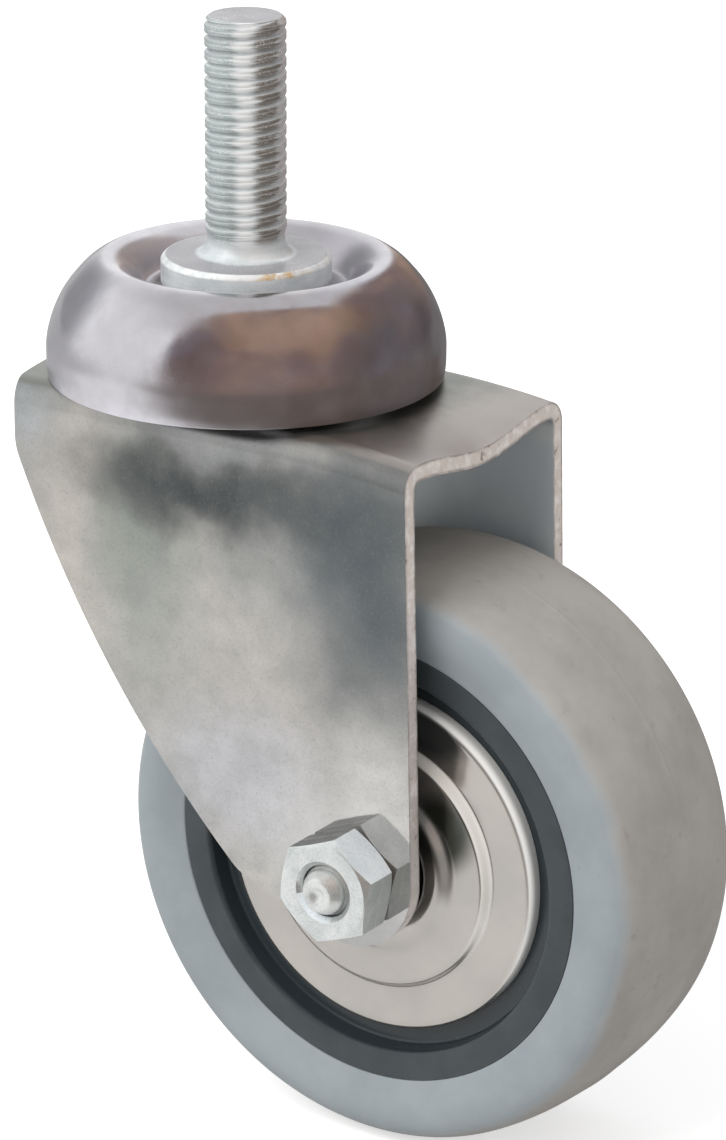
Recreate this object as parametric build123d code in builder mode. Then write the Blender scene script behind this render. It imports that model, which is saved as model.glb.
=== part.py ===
from build123d import *
import math
import os

os.makedirs("parts", exist_ok=True)

# All sizes are millimetres. The swivel axis is Z, the flange's top face is z = 0,
# the wheel trails toward +X and its axle runs along Y. The nuts are on the -Y side.

# Threaded stem
stem_r = 6.3
stem_len = 37.3
stem_end_chamfer = 1.2
flange_r = 13.2
flange_thick = 4.4
flange_chamfer = 0.75
kingpin_r = 6.2
rivet_head_rim = 2.4
rivet_head_thick = 3.0
rivet_head_draft = 0.5
rivet_head_edge = 1.65

# Hood
hood_sheet = 1.6
hood_rim_r = 31.0
hood_rim_gap = 0.8
hood_wall_height = 5.3
hood_crest_r = 22.3
hood_crest_drop = 0.35
dish_gap = 2.0
kingpin_fit = 0.05
# Points of the rounded shoulder, as shares of the way out from the crest and up to it.
shoulder_shares = ((0.84, 0.38), (0.5, 0.74))
# Points of the dish, as shares of the way out from its floor and up to the crest.
dish_shares = ((0.56, 0.77), (0.28, 0.3))

# Fork
fork_sheet = 2.6
crown_z = -19.7
bend_r = 3.8
front_x = 43.5
crown_fall_start_x = 20.0
crown_fall_side = 1.7
crown_fall_middle = 3.75
crown_rear_x = -31.6
leg_rear_x = -28.3
leg_end_r = 11.1
leg_top_notch = 0.9
leg_corner_z = -30.2
leg_corner_r = 9.0
leg_sweep_r = 180.0
leg_kink_back = 20.6
leg_kink_drop = 3.7
leg_kink_r = 8.0
trim_margin = 6.0

# Ball tracks
upper_ball_r = 3.175
upper_ball_count = 14
lower_ball_r = 2.38
lower_ball_count = 12
track_fit = 0.12
ball_fit = 0.02
upper_groove_depth = 1.0
lower_groove_depth = 0.8
race_groove_depth = 0.9
crown_bore_gap = 1.2
crown_disc_margin = 0.05
upper_track_rim = 0.065
lower_track_rim = 0.57
race_sheet = 2.2
race_rim = 4.1
race_neck_gap = 3.8
race_neck_draft = 1.6
lower_race_rim = 4.2
lower_race_chamfer = 0.4
king_washer_rim = 4.8
king_washer_thick = 1.8

# Axle and wheel position
axle_x = 34.2
axle_z = -88.3
axle_bolt_r = 4.75
axle_thread_depth = 0.65
axle_thread_fit = 0.15
axle_thread_runout = 0.6
axle_hole_fit = 0.1
nut_flats = 15.24
nut_turn_deg = 22.0
outer_nut_thick = 5.1
inner_nut_thick = 3.1
nut_countersink = 0.65
nut_face_inset = 0.2
nut_chamfer_deep = 1.15
nut_chamfer_rise = 2.0
nut_back_rim = 0.6
nut_back_chamfer = 0.45
nut_back_rise = 0.8
bolt_end_past_nut = 0.9
bolt_end_chamfer = 0.7
bolt_dimple_r = 1.3
bolt_dimple_deep = 0.7
bolt_head_thick = 6.6
bolt_washer_r = 10.0
bolt_washer_thick = 1.6

# Wheel
tyre_r = 47.0
tyre_depth = 11.3
tyre_crown_drop = 1.4
tyre_overhang = 1.2
tyre_shoulder_r = 2.4
tyre_shoulder_share = 0.9
tyre_foot_step = 0.25
tyre_foot_rise = 0.9
core_half_width = 15.4
core_rim_wall = 4.6
core_lip_chamfer = 0.5
core_floor_depth = 3.5
core_draft = 0.4
core_web_half_width = 4.0
core_key_rise = 2.9
core_key_half_width = 8.0
core_key_slope = 1.2
core_hub_half_width = 14.2
core_hub_wall = 3.6
core_hub_lip = 2.4
wheel_side_gap = 3.2

# Thread guard discs
guard_sheet = 1.0
guard_ring_gap = 3.3
guard_seat_width = 2.2
guard_seat_fit = 0.02
guard_face_inset = 1.1
guard_edge_r = 1.6
guard_boss_gap = 1.8
guard_step_slope = 1.2
guard_boss_rise = 1.4
guard_hub_rise = 1.3
guard_hub_width = 2.4
guard_hub_slope = 2.2
guard_hole_gap = 1.0

# Wheel bearings, sleeve and collars
bearing_outer_r = 14.0
bearing_width = 8.0
bearing_ring_wall = 2.3
bearing_ball_r = 2.35
bearing_ball_count = 9
sleeve_bore_fit = 0.15
sleeve_wall = 1.08
sleeve_fit = 0.02
collar_rim = 0.7

# Widths that follow from the wheel, and the hood from the flange and the crown
tyre_half_width = core_half_width + tyre_overhang
leg_inner_y = tyre_half_width + wheel_side_gap
fork_half_width = leg_inner_y + fork_sheet
dish_floor_r = flange_r + dish_gap
hood_floor_top_z = -flange_thick
hood_floor_bottom_z = hood_floor_top_z - hood_sheet
hood_crest_z = -hood_crest_drop
hood_rim_z = crown_z + hood_rim_gap
hood_wall_top_z = hood_rim_z + hood_wall_height
hood_inner_r = hood_rim_r - hood_sheet
race_bore_r = kingpin_r + kingpin_fit
crown_under_z = crown_z - fork_sheet
crown_bore_r = kingpin_r + crown_bore_gap
crown_disc_r = fork_half_width - bend_r - crown_disc_margin

# Ball tracks that follow from the balls and the crown
upper_track_groove_r = upper_ball_r + track_fit
upper_half = math.sqrt(upper_track_groove_r ** 2 - (upper_track_groove_r - upper_groove_depth) ** 2)
upper_bump_r = upper_track_groove_r + fork_sheet
upper_bump_half = math.sqrt(upper_bump_r ** 2 - (upper_bump_r - upper_groove_depth) ** 2)
lower_track_groove_r = lower_ball_r + track_fit
lower_half = math.sqrt(lower_track_groove_r ** 2 - (lower_track_groove_r - lower_groove_depth) ** 2)
lower_bump_r = lower_track_groove_r + fork_sheet
lower_bump_half = math.sqrt(lower_bump_r ** 2 - (lower_bump_r - lower_groove_depth) ** 2)
upper_track_r = crown_disc_r - upper_track_rim - upper_bump_half
lower_track_r = crown_bore_r + lower_track_rim + lower_half
upper_ball_z = crown_z - upper_groove_depth + upper_ball_r + ball_fit
lower_ball_z = crown_under_z + lower_groove_depth - lower_ball_r - ball_fit
upper_groove_centre_z = crown_z - upper_groove_depth + upper_track_groove_r
lower_groove_centre_z = crown_under_z + lower_groove_depth - lower_track_groove_r
ridge_bore_z = lower_groove_centre_z + math.sqrt(lower_bump_r ** 2 - (lower_track_r - crown_bore_r) ** 2)

# Races, washer and rivet that follow from the tracks
race_outer_r = upper_track_r + race_rim
race_neck_r = upper_track_r - race_neck_gap
upper_race_face_z = upper_ball_z + upper_ball_r + ball_fit - race_groove_depth
upper_race_top_z = upper_race_face_z + race_sheet
lower_race_r = lower_track_r + lower_race_rim
lower_race_face_z = lower_ball_z - lower_ball_r - ball_fit + race_groove_depth
lower_race_bottom_z = lower_race_face_z - race_sheet
king_washer_r = kingpin_r + king_washer_rim
king_washer_bottom_z = lower_race_bottom_z - king_washer_thick
rivet_head_r = kingpin_r + rivet_head_rim
rivet_bottom_z = king_washer_bottom_z - rivet_head_thick

# Bolt and nuts that follow from the legs
axle_thread_root_r = axle_bolt_r - axle_thread_depth
nut_hole_r = axle_thread_root_r + axle_thread_fit
nut_countersink_r = nut_hole_r + nut_countersink
nut_face_r = nut_flats / 2 - nut_face_inset
nut_clear_r = nut_face_r + nut_chamfer_rise
nut_back_r = nut_flats / 2 + nut_back_rim
nut_face_y = fork_half_width + inner_nut_thick + outer_nut_thick
bolt_end_y = nut_face_y + bolt_end_past_nut
bolt_head_seat_y = fork_half_width + bolt_washer_thick

# Wheel pieces that follow from the tyre, the hub and the bolt
core_r = tyre_r - tyre_depth
core_key_r = core_r + core_key_rise
core_lip_r = core_r - core_rim_wall
core_floor_half_width = core_half_width - core_floor_depth
core_hub_r = bearing_outer_r + core_hub_wall
crown_edge_r = tyre_r - tyre_crown_drop
wall_top_r = crown_edge_r - tyre_shoulder_r * tyre_shoulder_share
sleeve_r = axle_bolt_r + sleeve_bore_fit + sleeve_wall
bearing_bore_r = sleeve_r + sleeve_fit
bearing_inner_land_r = bearing_bore_r + bearing_ring_wall
bearing_outer_land_r = bearing_outer_r - bearing_ring_wall
bearing_pitch_r = (bearing_inner_land_r + bearing_outer_land_r) / 2
bearing_face_y = core_hub_half_width
bearing_mid_y = bearing_face_y - bearing_width / 2
collar_r = bearing_inner_land_r + collar_rim
guard_r = core_lip_r - guard_ring_gap
core_ring_inner_r = guard_r - guard_seat_width
guard_face_y = core_half_width - guard_face_inset
guard_skirt_end_y = core_floor_half_width + guard_seat_fit
guard_step_inner_r = core_hub_r + guard_boss_gap
guard_step_outer_r = guard_step_inner_r + guard_step_slope
guard_boss_y = guard_face_y + guard_boss_rise
guard_hub_y = guard_boss_y + guard_hub_rise
guard_hole_r = collar_r + guard_hole_gap
guard_hub_inner_r = guard_hole_r + guard_hub_width
guard_hub_outer_r = guard_hub_inner_r + guard_hub_slope

# Working planes
section = Plane.XZ
axle_plane = Plane((axle_x, 0, axle_z), x_dir=(1, 0, 0), z_dir=(0, -1, 0))
axle_section = Plane((axle_x, 0, axle_z), x_dir=(0, -1, 0), z_dir=(1, 0, 0))
swivel_axis = Axis.Z
wheel_axis = Axis((axle_x, 0, axle_z), (0, -1, 0))


def ring(count, pitch_r):
    """Centres of balls spaced evenly round a circle."""
    places = []
    for index in range(count):
        turn = 2 * math.pi * index / count
        places.append((pitch_r * math.cos(turn), pitch_r * math.sin(turn)))
    return places


# Threaded stem with its flange, the kingpin below it and the riveted end.
with BuildPart() as threaded_stem:
    with BuildSketch(section):
        with BuildLine():
            Polyline(
                (0, stem_len),
                (stem_r - stem_end_chamfer, stem_len),
                (stem_r, stem_len - stem_end_chamfer),
                (stem_r, 0),
                (flange_r - flange_chamfer, 0),
                (flange_r, -flange_chamfer),
                (flange_r, -flange_thick),
                (kingpin_r, -flange_thick),
                (kingpin_r, king_washer_bottom_z),
                (rivet_head_r, king_washer_bottom_z),
                (rivet_head_r - rivet_head_draft, king_washer_bottom_z - rivet_head_edge),
                (kingpin_r, rivet_bottom_z),
                (0, rivet_bottom_z),
                close=True,
            )
        make_face()
    revolve(axis=swivel_axis)
threaded_stem.part.label = "threaded_stem"
export_step(threaded_stem.part, "parts/threaded_stem.step")

def between(inner, outer, share_out, share_up):
    """A point at its shares of the way out and up between two corners."""
    return (
        inner[0] + (outer[0] - inner[0]) * share_out,
        outer[1] + (inner[1] - outer[1]) * share_up,
    )


def inward(curve, places, depth):
    """Points inside a curve, each a sheet's depth from its place on it."""
    points = []
    for place in places:
        spot = curve @ place
        heading = curve % place
        points.append((spot.X - heading.Y * depth, spot.Y + heading.X * depth))
    return points


# Hood, a drawn sheet cap with a dish round the flange.
hood_wall_top = (hood_rim_r, hood_wall_top_z)
hood_crest = (hood_crest_r, hood_crest_z)
dish_floor = (dish_floor_r, hood_floor_top_z)
dome_points = [hood_wall_top]
for share_out, share_up in shoulder_shares:
    dome_points.append(between(hood_crest, hood_wall_top, share_out, share_up))
dome_points.append(hood_crest)
for share_out, share_up in dish_shares:
    dome_points.append((
        dish_floor_r + (hood_crest_r - dish_floor_r) * share_out,
        hood_floor_top_z + (hood_crest_z - hood_floor_top_z) * share_up,
    ))
dome_points.append(dish_floor)
with BuildPart() as hood:
    with BuildSketch(section):
        with BuildLine():
            wall = Line((hood_rim_r, hood_rim_z), hood_wall_top)
            dome = Spline(dome_points, tangents=[(0, 1), (-1, 0)])
            floor = Line(dome @ 1, (race_bore_r, hood_floor_top_z))
            bore = Line(floor @ 1, (race_bore_r, hood_floor_bottom_z))
            under = Line(bore @ 1, (dish_floor_r, hood_floor_bottom_z))
            inner_dome = Spline(
                under @ 1,
                *inward(dome, (0.88, 0.76, 0.66, 0.56, 0.42, 0.28, 0.14), hood_sheet),
                (hood_inner_r, hood_wall_top_z),
                tangents=[(1, 0), (0, -1)],
            )
            Line(inner_dome @ 1, (hood_inner_r, hood_rim_z))
            Line((hood_inner_r, hood_rim_z), wall @ 0)
        make_face()
    revolve(axis=swivel_axis)
hood.part.label = "hood"
export_step(hood.part, "parts/hood.step")

# Upper race, a hat-shaped pressing with a ball track under its brim.
with BuildPart() as upper_race:
    with BuildSketch(section):
        with BuildLine():
            Polyline(
                (race_bore_r, hood_floor_bottom_z),
                (race_neck_r, hood_floor_bottom_z),
                (race_neck_r + race_neck_draft, upper_race_top_z),
                (race_outer_r, upper_race_top_z),
                (race_outer_r, upper_race_face_z),
                (race_neck_r, upper_race_face_z),
                (race_neck_r - race_sheet, hood_floor_bottom_z - race_sheet),
                (race_bore_r, hood_floor_bottom_z - race_sheet),
                close=True,
            )
        make_face()
    revolve(axis=swivel_axis)
    with BuildSketch(section):
        with Locations((upper_track_r, upper_ball_z)):
            Circle(upper_ball_r + track_fit)
    revolve(axis=swivel_axis, mode=Mode.SUBTRACT)
upper_race.part.label = "upper_race"
export_step(upper_race.part, "parts/upper_race.step")

# Upper balls between the upper race and the crown.
with BuildPart() as upper_balls:
    with Locations([(x, y, upper_ball_z) for x, y in ring(upper_ball_count, upper_track_r)]):
        Sphere(upper_ball_r)
upper_balls.part.label = "upper_balls"
export_step(upper_balls.part, "parts/upper_balls.step")

# Lower balls between the crown and the lower race.
with BuildPart() as lower_balls:
    with Locations([(x, y, lower_ball_z) for x, y in ring(lower_ball_count, lower_track_r)]):
        Sphere(lower_ball_r)
lower_balls.part.label = "lower_balls"
export_step(lower_balls.part, "parts/lower_balls.step")

# Lower race, a flat ring with a ball track on top.
with BuildPart() as lower_race:
    with BuildSketch(section):
        with Locations(((race_bore_r + lower_race_r) / 2, lower_race_face_z - race_sheet / 2)):
            Rectangle(lower_race_r - race_bore_r, race_sheet)
    revolve(axis=swivel_axis)
    with BuildSketch(section):
        with Locations((lower_track_r, lower_ball_z)):
            Circle(lower_ball_r + track_fit)
    revolve(axis=swivel_axis, mode=Mode.SUBTRACT)
    chamfer(lower_race.edges().filter_by(GeomType.CIRCLE).group_by(Axis.Z)[0][-1:], lower_race_chamfer)
lower_race.part.label = "lower_race"
export_step(lower_race.part, "parts/lower_race.step")

# Washer under the riveted end of the kingpin.
with BuildPart() as king_washer:
    with BuildSketch(Plane.XY.offset(king_washer_bottom_z)):
        Circle(king_washer_r)
        Circle(race_bore_r, mode=Mode.SUBTRACT)
    extrude(amount=king_washer_thick)
king_washer.part.label = "king_washer"
export_step(king_washer.part, "parts/king_washer.step")


def fork_outline(x, offset):
    """One section of the fork at x, moved inward by offset, as a closed face."""
    reach = max(0.0, (x - crown_fall_start_x) / (front_x - crown_fall_start_x))
    side_z = crown_z - crown_fall_side * reach ** 2 - offset
    middle_z = crown_z - crown_fall_middle * reach ** 2 - offset
    half = fork_half_width - offset
    corner = bend_r - offset
    foot_z = axle_z - leg_end_r - trim_margin
    arc_dip = corner * (1 - math.sqrt(0.5))
    edge = half - corner
    with BuildSketch(Plane((x, 0, 0), x_dir=(0, 1, 0), z_dir=(1, 0, 0)), mode=Mode.PRIVATE) as face:
        with BuildLine():
            Line((-half, foot_z), (half, foot_z))
            Line((half, foot_z), (half, side_z - corner))
            ThreePointArc((half, side_z - corner), (half - arc_dip, side_z - arc_dip), (edge, side_z))
            if reach > 0:
                Spline(
                    (edge, side_z),
                    (edge * 0.5, (side_z + middle_z) / 2),
                    (0, middle_z),
                    (-edge * 0.5, (side_z + middle_z) / 2),
                    (-edge, side_z),
                    tangents=[(-1, 0), (-1, 0)],
                )
            else:
                Line((edge, side_z), (-edge, side_z))
            ThreePointArc((-edge, side_z), (-half + arc_dip, side_z - arc_dip), (-half, side_z - corner))
            Line((-half, side_z - corner), (-half, foot_z))
        make_face()
    return face.sketch


def tangent_point(x, z, side):
    """Where a line from x, z touches the leg's round end; side 1 is the front, -1 the rear."""
    away = math.hypot(x - axle_x, z - axle_z)
    toward = math.atan2(z - axle_z, x - axle_x)
    turn = toward - side * math.acos(leg_end_r / away)
    return (axle_x + leg_end_r * math.cos(turn), axle_z + leg_end_r * math.sin(turn))


leg_top_z = crown_under_z - leg_top_notch
leg_front_top = (front_x, crown_z + trim_margin)
leg_front_foot = tangent_point(front_x, crown_z + trim_margin, 1)
leg_kink = (axle_x - leg_kink_back, axle_z - leg_kink_drop)
leg_rear_foot = tangent_point(leg_kink[0], leg_kink[1], -1)
leg_corner = (leg_rear_x, leg_corner_z)
fall_span = front_x + trim_margin - crown_fall_start_x
fall_stations = [crown_fall_start_x + fall_span * step / 3 for step in range(4)]

# Fork, one pressing: crown with both ball tracks, two bent legs with round ends.
with BuildPart() as fork:
    crown_run = crown_fall_start_x - crown_rear_x + trim_margin
    add(extrude(fork_outline(crown_rear_x - trim_margin, 0), amount=crown_run))
    add(loft([fork_outline(x, 0) for x in fall_stations]))
    inner_body = extrude(fork_outline(crown_rear_x - trim_margin, fork_sheet), amount=crown_run)
    add(inner_body, mode=Mode.SUBTRACT)
    add(loft([fork_outline(x, fork_sheet) for x in fall_stations]), mode=Mode.SUBTRACT)
    with BuildSketch(section) as leg_side:
        with BuildLine():
            Line(leg_front_top, leg_front_foot)
            RadiusArc(leg_front_foot, leg_rear_foot, leg_end_r)
            Line(leg_rear_foot, leg_kink)
            RadiusArc(leg_kink, leg_corner, leg_sweep_r)
            Polyline(
                leg_corner,
                (leg_rear_x, leg_top_z),
                (crown_rear_x - trim_margin, leg_top_z),
                (crown_rear_x - trim_margin, crown_z + trim_margin),
                leg_front_top,
            )
        make_face()
        fillet(leg_side.vertices().sort_by_distance(leg_kink)[0], leg_kink_r)
        fillet(leg_side.vertices().sort_by_distance(leg_corner)[0], leg_corner_r)
    extrude(amount=fork_half_width + trim_margin, both=True, mode=Mode.INTERSECT)
    with BuildSketch(Plane.XY.offset(leg_top_z - trim_margin)):
        with BuildLine():
            back = ThreePointArc(
                (leg_rear_x, -fork_half_width),
                (crown_rear_x, 0),
                (leg_rear_x, fork_half_width),
            )
            Polyline(
                back @ 1,
                (leg_rear_x, fork_half_width + trim_margin),
                (crown_rear_x - 2 * trim_margin, fork_half_width + trim_margin),
                (crown_rear_x - 2 * trim_margin, -fork_half_width - trim_margin),
                (leg_rear_x, -fork_half_width - trim_margin),
                back @ 0,
            )
        make_face()
    extrude(amount=crown_z - leg_top_z + 2 * trim_margin, mode=Mode.SUBTRACT)
    with BuildSketch(Plane.XY.offset(crown_under_z - trim_margin)):
        Circle(upper_track_r + upper_bump_half)
    extrude(amount=fork_sheet + 2 * trim_margin, mode=Mode.SUBTRACT)
    with BuildSketch(section):
        with BuildLine():
            top = Line((crown_disc_r, crown_z), (upper_track_r + upper_half, crown_z))
            channel = ThreePointArc(
                top @ 1,
                (upper_track_r, crown_z - upper_groove_depth),
                (upper_track_r - upper_half, crown_z),
            )
            ridge_foot = Line(channel @ 1, (lower_track_r + lower_bump_half, crown_z))
            ridge = ThreePointArc(
                ridge_foot @ 1,
                (lower_track_r, lower_groove_centre_z + lower_bump_r),
                (crown_bore_r, ridge_bore_z),
            )
            bore = Line(ridge @ 1, (crown_bore_r, crown_under_z))
            lip = Line(bore @ 1, (lower_track_r - lower_half, crown_under_z))
            track = ThreePointArc(
                lip @ 1,
                (lower_track_r, crown_under_z + lower_groove_depth),
                (lower_track_r + lower_half, crown_under_z),
            )
            gap = Line(track @ 1, (upper_track_r - upper_bump_half, crown_under_z))
            belly = ThreePointArc(
                gap @ 1,
                (upper_track_r, upper_groove_centre_z - upper_bump_r),
                (upper_track_r + upper_bump_half, crown_under_z),
            )
            outer = Line(belly @ 1, (crown_disc_r, crown_under_z))
            Line(outer @ 1, top @ 0)
        make_face()
    revolve(axis=swivel_axis)
    with BuildSketch(axle_plane):
        Circle(axle_bolt_r + axle_hole_fit)
    extrude(amount=fork_half_width + trim_margin, both=True, mode=Mode.SUBTRACT)
fork.part.label = "fork"
export_step(fork.part, "parts/fork.step")

# Axle bolt, put in from the far side, its end showing past the outer nut.
with BuildPart() as axle_bolt:
    with BuildSketch(axle_section):
        with BuildLine():
            Polyline(
                (-bolt_head_seat_y, 0),
                (-bolt_head_seat_y, axle_bolt_r),
                (fork_half_width - axle_thread_runout, axle_bolt_r),
                (fork_half_width, axle_thread_root_r),
                (bolt_end_y - bolt_end_chamfer, axle_thread_root_r),
                (bolt_end_y, axle_thread_root_r - bolt_end_chamfer),
                (bolt_end_y, bolt_dimple_r),
                (bolt_end_y - bolt_dimple_deep, 0),
                close=True,
            )
        make_face()
    revolve(axis=wheel_axis)
    with BuildSketch(axle_plane.offset(-bolt_head_seat_y)):
        RegularPolygon(nut_flats / 2, 6, major_radius=False, rotation=nut_turn_deg)
    extrude(amount=-bolt_head_thick)
    with BuildSketch(axle_section):
        with BuildLine():
            Polyline(
                (-bolt_head_seat_y - bolt_head_thick, 0),
                (-bolt_head_seat_y - bolt_head_thick, nut_face_r),
                (-bolt_head_seat_y - bolt_head_thick + nut_chamfer_deep, nut_clear_r),
                (bolt_end_y + trim_margin, nut_clear_r),
                (bolt_end_y + trim_margin, 0),
                close=True,
            )
        make_face()
    revolve(axis=wheel_axis, mode=Mode.INTERSECT)
axle_bolt.part.label = "axle_bolt"
export_step(axle_bolt.part, "parts/axle_bolt.step")

# Washer under the bolt head on the far leg.
with BuildPart() as bolt_washer:
    with BuildSketch(axle_plane.offset(-fork_half_width)):
        Circle(bolt_washer_r)
        Circle(axle_bolt_r + axle_hole_fit, mode=Mode.SUBTRACT)
    extrude(amount=-bolt_washer_thick)
bolt_washer.part.label = "bolt_washer"
export_step(bolt_washer.part, "parts/bolt_washer.step")


def hex_nut(inner_y, thick):
    """A hexagon nut between inner_y and inner_y + thick from the middle plane, near side."""
    outer_y = inner_y + thick
    with BuildPart(mode=Mode.PRIVATE) as nut:
        with BuildSketch(axle_plane.offset(inner_y)):
            RegularPolygon(nut_flats / 2, 6, major_radius=False, rotation=nut_turn_deg)
            Circle(nut_hole_r, mode=Mode.SUBTRACT)
        extrude(amount=thick)
        with BuildSketch(axle_section):
            with BuildLine():
                Polyline(
                    (inner_y, nut_hole_r),
                    (inner_y, nut_back_r),
                    (inner_y + nut_back_chamfer, nut_back_r + nut_back_rise),
                    (outer_y - nut_chamfer_deep, nut_clear_r),
                    (outer_y, nut_face_r),
                    (outer_y, nut_countersink_r),
                    (outer_y - nut_countersink, nut_hole_r),
                    close=True,
                )
            make_face()
        revolve(axis=wheel_axis, mode=Mode.INTERSECT)
    return nut.part


# Thin nut against the leg.
with BuildPart() as inner_nut:
    add(hex_nut(fork_half_width, inner_nut_thick))
inner_nut.part.label = "inner_nut"
export_step(inner_nut.part, "parts/inner_nut.step")

# Outer nut locked on the thin one.
with BuildPart() as outer_nut:
    add(hex_nut(fork_half_width + inner_nut_thick, outer_nut_thick))
outer_nut.part.label = "outer_nut"
export_step(outer_nut.part, "parts/outer_nut.step")

# Sleeve on the bolt between the legs.
with BuildPart() as axle_sleeve:
    with BuildSketch(axle_plane):
        Circle(sleeve_r)
        Circle(axle_bolt_r + sleeve_bore_fit, mode=Mode.SUBTRACT)
    extrude(amount=leg_inner_y, both=True)
axle_sleeve.part.label = "axle_sleeve"
export_step(axle_sleeve.part, "parts/axle_sleeve.step")

# Wheel core, moulded in one piece with a keyed rim, a web and a bearing hub.
core_half = [
    (core_key_half_width, core_key_r),
    (core_key_half_width + core_key_slope, core_r),
    (core_half_width, core_r),
    (core_half_width, core_lip_r + core_lip_chamfer),
    (core_half_width - core_lip_chamfer, core_lip_r),
    (core_floor_half_width, core_lip_r - core_draft),
    (core_floor_half_width, core_ring_inner_r),
    (core_web_half_width, core_ring_inner_r - core_draft),
    (core_web_half_width, core_hub_r + core_draft),
    (core_hub_half_width, core_hub_r),
    (core_hub_half_width, bearing_outer_r),
    (core_hub_half_width - bearing_width, bearing_outer_r),
    (core_hub_half_width - bearing_width, bearing_outer_r - core_hub_lip),
]
with BuildPart() as wheel_core:
    with BuildSketch(axle_section):
        with BuildLine():
            Polyline(*core_half, *[(-u, r) for u, r in reversed(core_half)], close=True)
        make_face()
    revolve(axis=wheel_axis)
wheel_core.part.label = "wheel_core"
export_step(wheel_core.part, "parts/wheel_core.step")

# Tyre moulded over the core's rim, crowned across the tread.
tread_end_y = tyre_half_width - tyre_shoulder_r
tread_mid_r = tyre_r - tyre_crown_drop * 0.3
wall_end_r = wall_top_r - tyre_shoulder_r * 0.3
shoulder_y = tyre_half_width - tyre_shoulder_r * 0.24
shoulder_mid_r = crown_edge_r - tyre_shoulder_r * 0.5
with BuildPart() as tyre:
    with BuildSketch(axle_section):
        with BuildLine():
            tread = Spline(
                (-tread_end_y, crown_edge_r),
                (-tyre_half_width / 2, tread_mid_r),
                (0, tyre_r),
                (tyre_half_width / 2, tread_mid_r),
                (tread_end_y, crown_edge_r),
                tangents=[(1, 0.42), (1, -0.42)],
            )
            near_shoulder = ThreePointArc(
                tread @ 1,
                (shoulder_y, shoulder_mid_r),
                (tyre_half_width, wall_end_r),
            )
            near_wall = Polyline(
                near_shoulder @ 1,
                (core_half_width + tyre_foot_step, core_r + tyre_foot_rise),
                (core_half_width, core_r),
                (core_key_half_width + core_key_slope, core_r),
                (core_key_half_width, core_key_r),
                (-core_key_half_width, core_key_r),
                (-core_key_half_width - core_key_slope, core_r),
                (-core_half_width, core_r),
                (-core_half_width - tyre_foot_step, core_r + tyre_foot_rise),
                (-tyre_half_width, wall_end_r),
            )
            ThreePointArc(near_wall @ 1, (-shoulder_y, shoulder_mid_r), tread @ 0)
        make_face()
    revolve(axis=wheel_axis)
tyre.part.label = "tyre"
export_step(tyre.part, "parts/tyre.step")


def guard_disc(side):
    """A pressed thread guard; side is 1 on the nut side and -1 on the head side."""
    bend = guard_edge_r
    dip = bend * (1 - math.sqrt(0.5))
    inner_bend = guard_edge_r - guard_sheet
    inner_dip = inner_bend * (1 - math.sqrt(0.5))
    skin = guard_sheet
    with BuildPart(mode=Mode.PRIVATE) as disc:
        with BuildSketch(axle_section):
            with BuildLine():
                skirt = Line((side * guard_skirt_end_y, guard_r), (side * (guard_face_y - bend), guard_r))
                edge = ThreePointArc(
                    skirt @ 1,
                    (side * (guard_face_y - dip), guard_r - dip),
                    (side * guard_face_y, guard_r - bend),
                )
                Polyline(
                    edge @ 1,
                    (side * guard_face_y, guard_step_outer_r),
                    (side * guard_boss_y, guard_step_inner_r),
                    (side * guard_boss_y, guard_hub_outer_r),
                    (side * guard_hub_y, guard_hub_inner_r),
                    (side * guard_hub_y, guard_hole_r),
                    (side * (guard_hub_y - skin), guard_hole_r),
                    (side * (guard_hub_y - skin), guard_hub_inner_r - core_draft),
                    (side * (guard_boss_y - skin), guard_hub_outer_r - core_draft),
                    (side * (guard_boss_y - skin), guard_step_inner_r - core_draft),
                    (side * (guard_face_y - skin), guard_step_outer_r - core_draft),
                    (side * (guard_face_y - skin), guard_r - bend),
                )
                ThreePointArc(
                    (side * (guard_face_y - skin), guard_r - bend),
                    (side * (guard_face_y - skin - inner_dip), guard_r - skin - inner_dip),
                    (side * (guard_face_y - bend), guard_r - skin),
                )
                Polyline(
                    (side * (guard_face_y - bend), guard_r - skin),
                    (side * guard_skirt_end_y, guard_r - skin),
                    skirt @ 0,
                )
            make_face()
        revolve(axis=wheel_axis)
    return disc.part


# Thread guard on the nut side.
with BuildPart() as guard_near:
    add(guard_disc(1))
guard_near.part.label = "guard_near"
export_step(guard_near.part, "parts/guard_near.step")

# Thread guard on the bolt head side.
with BuildPart() as guard_far:
    add(guard_disc(-1))
guard_far.part.label = "guard_far"
export_step(guard_far.part, "parts/guard_far.step")


def bearing_ring(side, inner_r, outer_r):
    """One ring of a wheel bearing with the ball track turned out of it."""
    with BuildPart(mode=Mode.PRIVATE) as race:
        with BuildSketch(axle_section):
            with Locations((side * bearing_mid_y, (inner_r + outer_r) / 2)):
                Rectangle(bearing_width, outer_r - inner_r)
        revolve(axis=wheel_axis)
        with BuildSketch(axle_section):
            with Locations((side * bearing_mid_y, bearing_pitch_r)):
                Circle(bearing_ball_r + ball_fit)
        revolve(axis=wheel_axis, mode=Mode.SUBTRACT)
    return race.part


def bearing_balls(side):
    """The ball set of one wheel bearing."""
    with BuildPart(mode=Mode.PRIVATE) as balls:
        with Locations([
            (axle_x + x, -side * bearing_mid_y, axle_z + z) for x, z in ring(bearing_ball_count, bearing_pitch_r)
        ]):
            Sphere(bearing_ball_r)
    return balls.part


def hub_collar(side):
    """The collar between a bearing's inner ring and the leg."""
    with BuildPart(mode=Mode.PRIVATE) as collar:
        with BuildSketch(axle_section):
            with Locations((side * (bearing_face_y + leg_inner_y) / 2, (bearing_bore_r + collar_r) / 2)):
                Rectangle(leg_inner_y - bearing_face_y, collar_r - bearing_bore_r)
        revolve(axis=wheel_axis)
    return collar.part


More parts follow.
